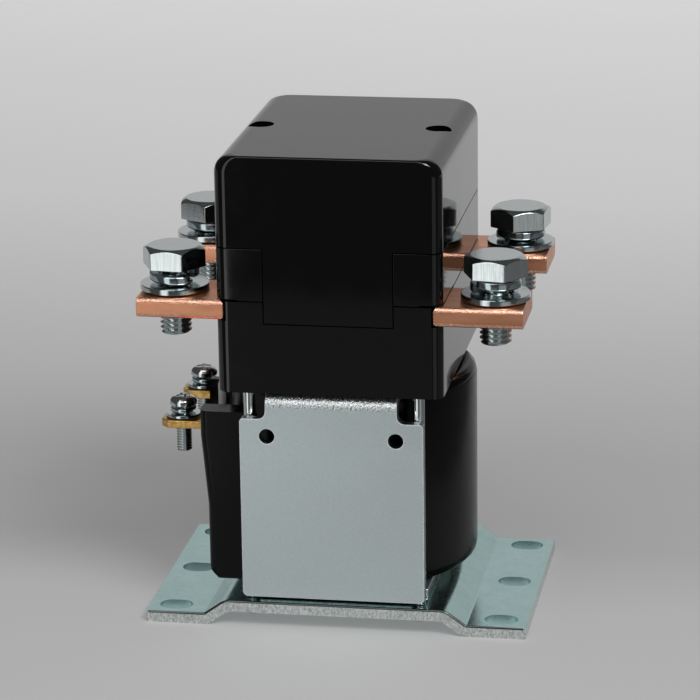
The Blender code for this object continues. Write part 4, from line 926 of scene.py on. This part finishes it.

# %% [markdown]
# ## The studio's own pieces
# The table and the card aren't part of the object, and neither rides on a body.

# %% Helper for the studio
def studio_piece(bm, name, finish):
    """The bmesh becomes a piece of the studio."""
    mesh = bpy.data.meshes.new(name)
    bm.to_mesh(mesh)
    bm.free()
    mesh.materials.append(finish)
    piece = bpy.data.objects.new(name, mesh)
    bpy.context.scene.collection.objects.link(piece)
    return piece


print("helper for the studio is ready")

# %% [markdown]
# ## The floor
# The part stands on a pale table that curves up into a wall behind. Its grey changes with the distance from
# the camera, and that change is painted light and shade: a painted shadow darkest round the part, and
# painted light paler towards the wall, as paper looks when the lamps stand over its far end. The table
# ends close in front of the part, so the glossy housing mirrors a dark room there. The ramp reads the
# sweep's own Object coordinates. Part of its tone is a glow of its own, for the camera and for what the
# metal and the black plastic mirror, so that no extra light falls on the part.

# %% Sweep
SWEEP_FRONT = -0.12
SWEEP_LEFT = -1.4
SWEEP_RIGHT = 1.4
SWEEP_BEND = 1.6
SWEEP_RADIUS = 0.9
SWEEP_TOP = 2.0
GLOW = 0.6
# Painted light and shade: the dip just behind the part is its painted shadow, and the rise towards the wall is
# painted light.
PAINTED_FLOOR_TONES = (
    (-0.12, 0.305),
    (-0.01, 0.305),
    (0.034, 0.27),
    (0.11, 0.295),
    (0.21, 0.37),
    (0.41, 0.545),
    (0.80, 0.76),
    (1.6, 0.60),
)


def sweep_shape():
    """A floor, a quarter bend and a wall, as one strip drawn out along X."""
    bm = bmesh.new()
    start = bm.verts.new((SWEEP_LEFT, SWEEP_FRONT, 0))
    corner = bm.verts.new((SWEEP_LEFT, SWEEP_BEND, 0))
    bm.edges.new((start, corner))
    bend = bmesh.ops.spin(bm, geom=[corner], cent=(0, SWEEP_BEND, SWEEP_RADIUS), axis=(1, 0, 0),
                          angle=math.radians(90), steps=24)["geom_last"]
    wall = bmesh.ops.extrude_vert_indiv(bm, verts=verts_in(bend))
    bmesh.ops.translate(bm, verts=wall["verts"], vec=(0, 0, SWEEP_TOP - SWEEP_RADIUS))
    strip = bmesh.ops.extrude_edge_only(bm, edges=bm.edges[:])["geom"]
    bmesh.ops.translate(bm, verts=verts_in(strip), vec=(SWEEP_RIGHT - SWEEP_LEFT, 0, 0))
    bmesh.ops.recalc_face_normals(bm, faces=bm.faces)
    if bm.faces[0].normal.z < 0:
        bmesh.ops.reverse_faces(bm, faces=bm.faces)
    return bm


def math_node(tree, operation, first, second):
    """Two values, of which the second may be a plain number, become one."""
    node = tree.nodes.new("ShaderNodeMath")
    node.operation = operation
    tree.links.new(first, node.inputs[0])
    if isinstance(second, float):
        node.inputs[1].default_value = second
    else:
        tree.links.new(second, node.inputs[1])
    return node.outputs["Value"]


def paper_finish():
    """Matt paper whose tone follows the Y of its own Object coordinates."""
    paper = new_finish("paper", (0.6, 0.6, 0.6), 0.9)
    tree = paper.node_tree
    shader = tree.nodes["Principled BSDF"]
    place = tree.nodes.new("ShaderNodeTexCoord")
    axes = tree.nodes.new("ShaderNodeSeparateXYZ")
    share = tree.nodes.new("ShaderNodeMapRange")
    tones = tree.nodes.new("ShaderNodeValToRGB")
    nearest, farthest = PAINTED_FLOOR_TONES[0][0], PAINTED_FLOOR_TONES[-1][0]
    share.inputs["From Min"].default_value = nearest
    share.inputs["From Max"].default_value = farthest
    tree.links.new(place.outputs["Object"], axes.inputs["Vector"])
    tree.links.new(axes.outputs["Y"], share.inputs["Value"])
    tree.links.new(share.outputs["Result"], tones.inputs["Fac"])
    stops = tones.color_ramp.elements
    for index, (depth, tone) in enumerate(PAINTED_FLOOR_TONES):
        position = (depth - nearest) / (farthest - nearest)
        stop = stops[index] if index < 2 else stops.new(position)
        stop.position = position
        stop.color = (tone, tone, tone, 1.0)
    for socket in ("Base Color", "Emission Color"):
        tree.links.new(tones.outputs["Color"], shader.inputs[socket])
    rays = tree.nodes.new("ShaderNodeLightPath")
    seen = math_node(tree, "MAXIMUM", rays.outputs["Is Camera Ray"], rays.outputs["Is Glossy Ray"])
    seen = math_node(tree, "MAXIMUM", seen, rays.outputs["Is Transmission Ray"])
    tree.links.new(math_node(tree, "MULTIPLY", seen, GLOW), shader.inputs["Emission Strength"])
    return paper


sweep = studio_piece(sweep_shape(), "sweep", paper_finish())
sweep.data.shade_smooth()
print("sweep with", len(PAINTED_FLOOR_TONES), "tones")

# %% [markdown]
# ## The light
# The key is a bright soft box high at the right front, and two weaker ones over the camera and overhead
# fill the tops. A tall box at the front left is what the steel's faces mirror, and it stops short of where
# the glossy black front looks. Two dim ones below the table's edge lift the housing's lower front and the
# bolts' sides, and one lights the wall. A soft box is an area light that the camera doesn't see.

# %% Soft boxes
PART_MIDDLE = (0, 0, 0.06)
SOFT_BOXES = (
    # name, place, what it faces, width, height, brightness
    ("key", (0.55, -0.65, 0.95), PART_MIDDLE, 0.5, 0.5, 12),
    ("overhead", (-0.04, -0.24, 0.82), PART_MIDDLE, 0.5, 0.3, 1.8),
    ("front_left", (-0.478, -0.991, 0.15), (0.0, 0.0, 0.15), 0.44, 1.3, 1.15),
    ("top_front", (-0.12, -0.50, 0.52), PART_MIDDLE, 0.45, 0.45, 1.5),
    ("low_front", (-0.12, -0.62, -0.23), (-0.12, 0, -0.23), 0.6, 0.3, 0.1),
    ("low_right", (0.47, -0.56, -0.125), (0.045, 0.026, 0.09), 0.4, 0.3, 0.32),
    ("wall", (-0.3, 1.2, 1.3), (-0.3, 2.5, 0.9), 1.4, 0.6, 1.0),
)


def soft_box(name, place, aim, width, height, brightness):
    """An area light of an even brightness: 1 is the brightness of white paper in plain light."""
    lamp = bpy.data.lights.new(name, "AREA")
    lamp.shape = "RECTANGLE"
    lamp.size = width
    lamp.size_y = height
    lamp.energy = brightness * math.pi * width * height
    box = bpy.data.objects.new(name, lamp)
    box.location = place
    box.rotation_euler = (Vector(place) - Vector(aim)).to_track_quat("Z", "Y").to_euler()
    box.visible_camera = False
    bpy.context.scene.collection.objects.link(box)


for box in SOFT_BOXES:
    soft_box(*box)
print(len(bpy.data.lights), "soft boxes")

# %% [markdown]
# ## The card and the room
# A dark card lies on the table at the right, outside the picture. The housing's side mirrors it and comes
# out darker than the table would make it. The room itself is a dim grey, because the black mouldings show
# it everywhere that no lamp or paper is.

# %% Card and room
CARD_LENGTH = 0.8
CARD_WIDTH = 0.4
CARD_THICKNESS = 2 * MM
CARD_PLACE = (0.53, 0.08, 0.002)
ROOM_GREY = 0.07

bm = bmesh.new()
bmesh.ops.create_cube(bm, size=1)
bmesh.ops.scale(bm, verts=bm.verts, vec=(CARD_LENGTH, CARD_WIDTH, CARD_THICKNESS))
shift(bm, CARD_PLACE)
card = studio_piece(bm, "card", new_finish("card_black", (0.18, 0.18, 0.18), 0.9))

world = bpy.data.worlds.new("room")
world.use_nodes = True
background = world.node_tree.nodes["Background"]
background.inputs["Color"].default_value = (ROOM_GREY, ROOM_GREY, ROOM_GREY, 1)
background.inputs["Strength"].default_value = 1.0
bpy.context.scene.world = world
bpy.context.scene.view_settings.view_transform = "Standard"
print("a card and a dim room")
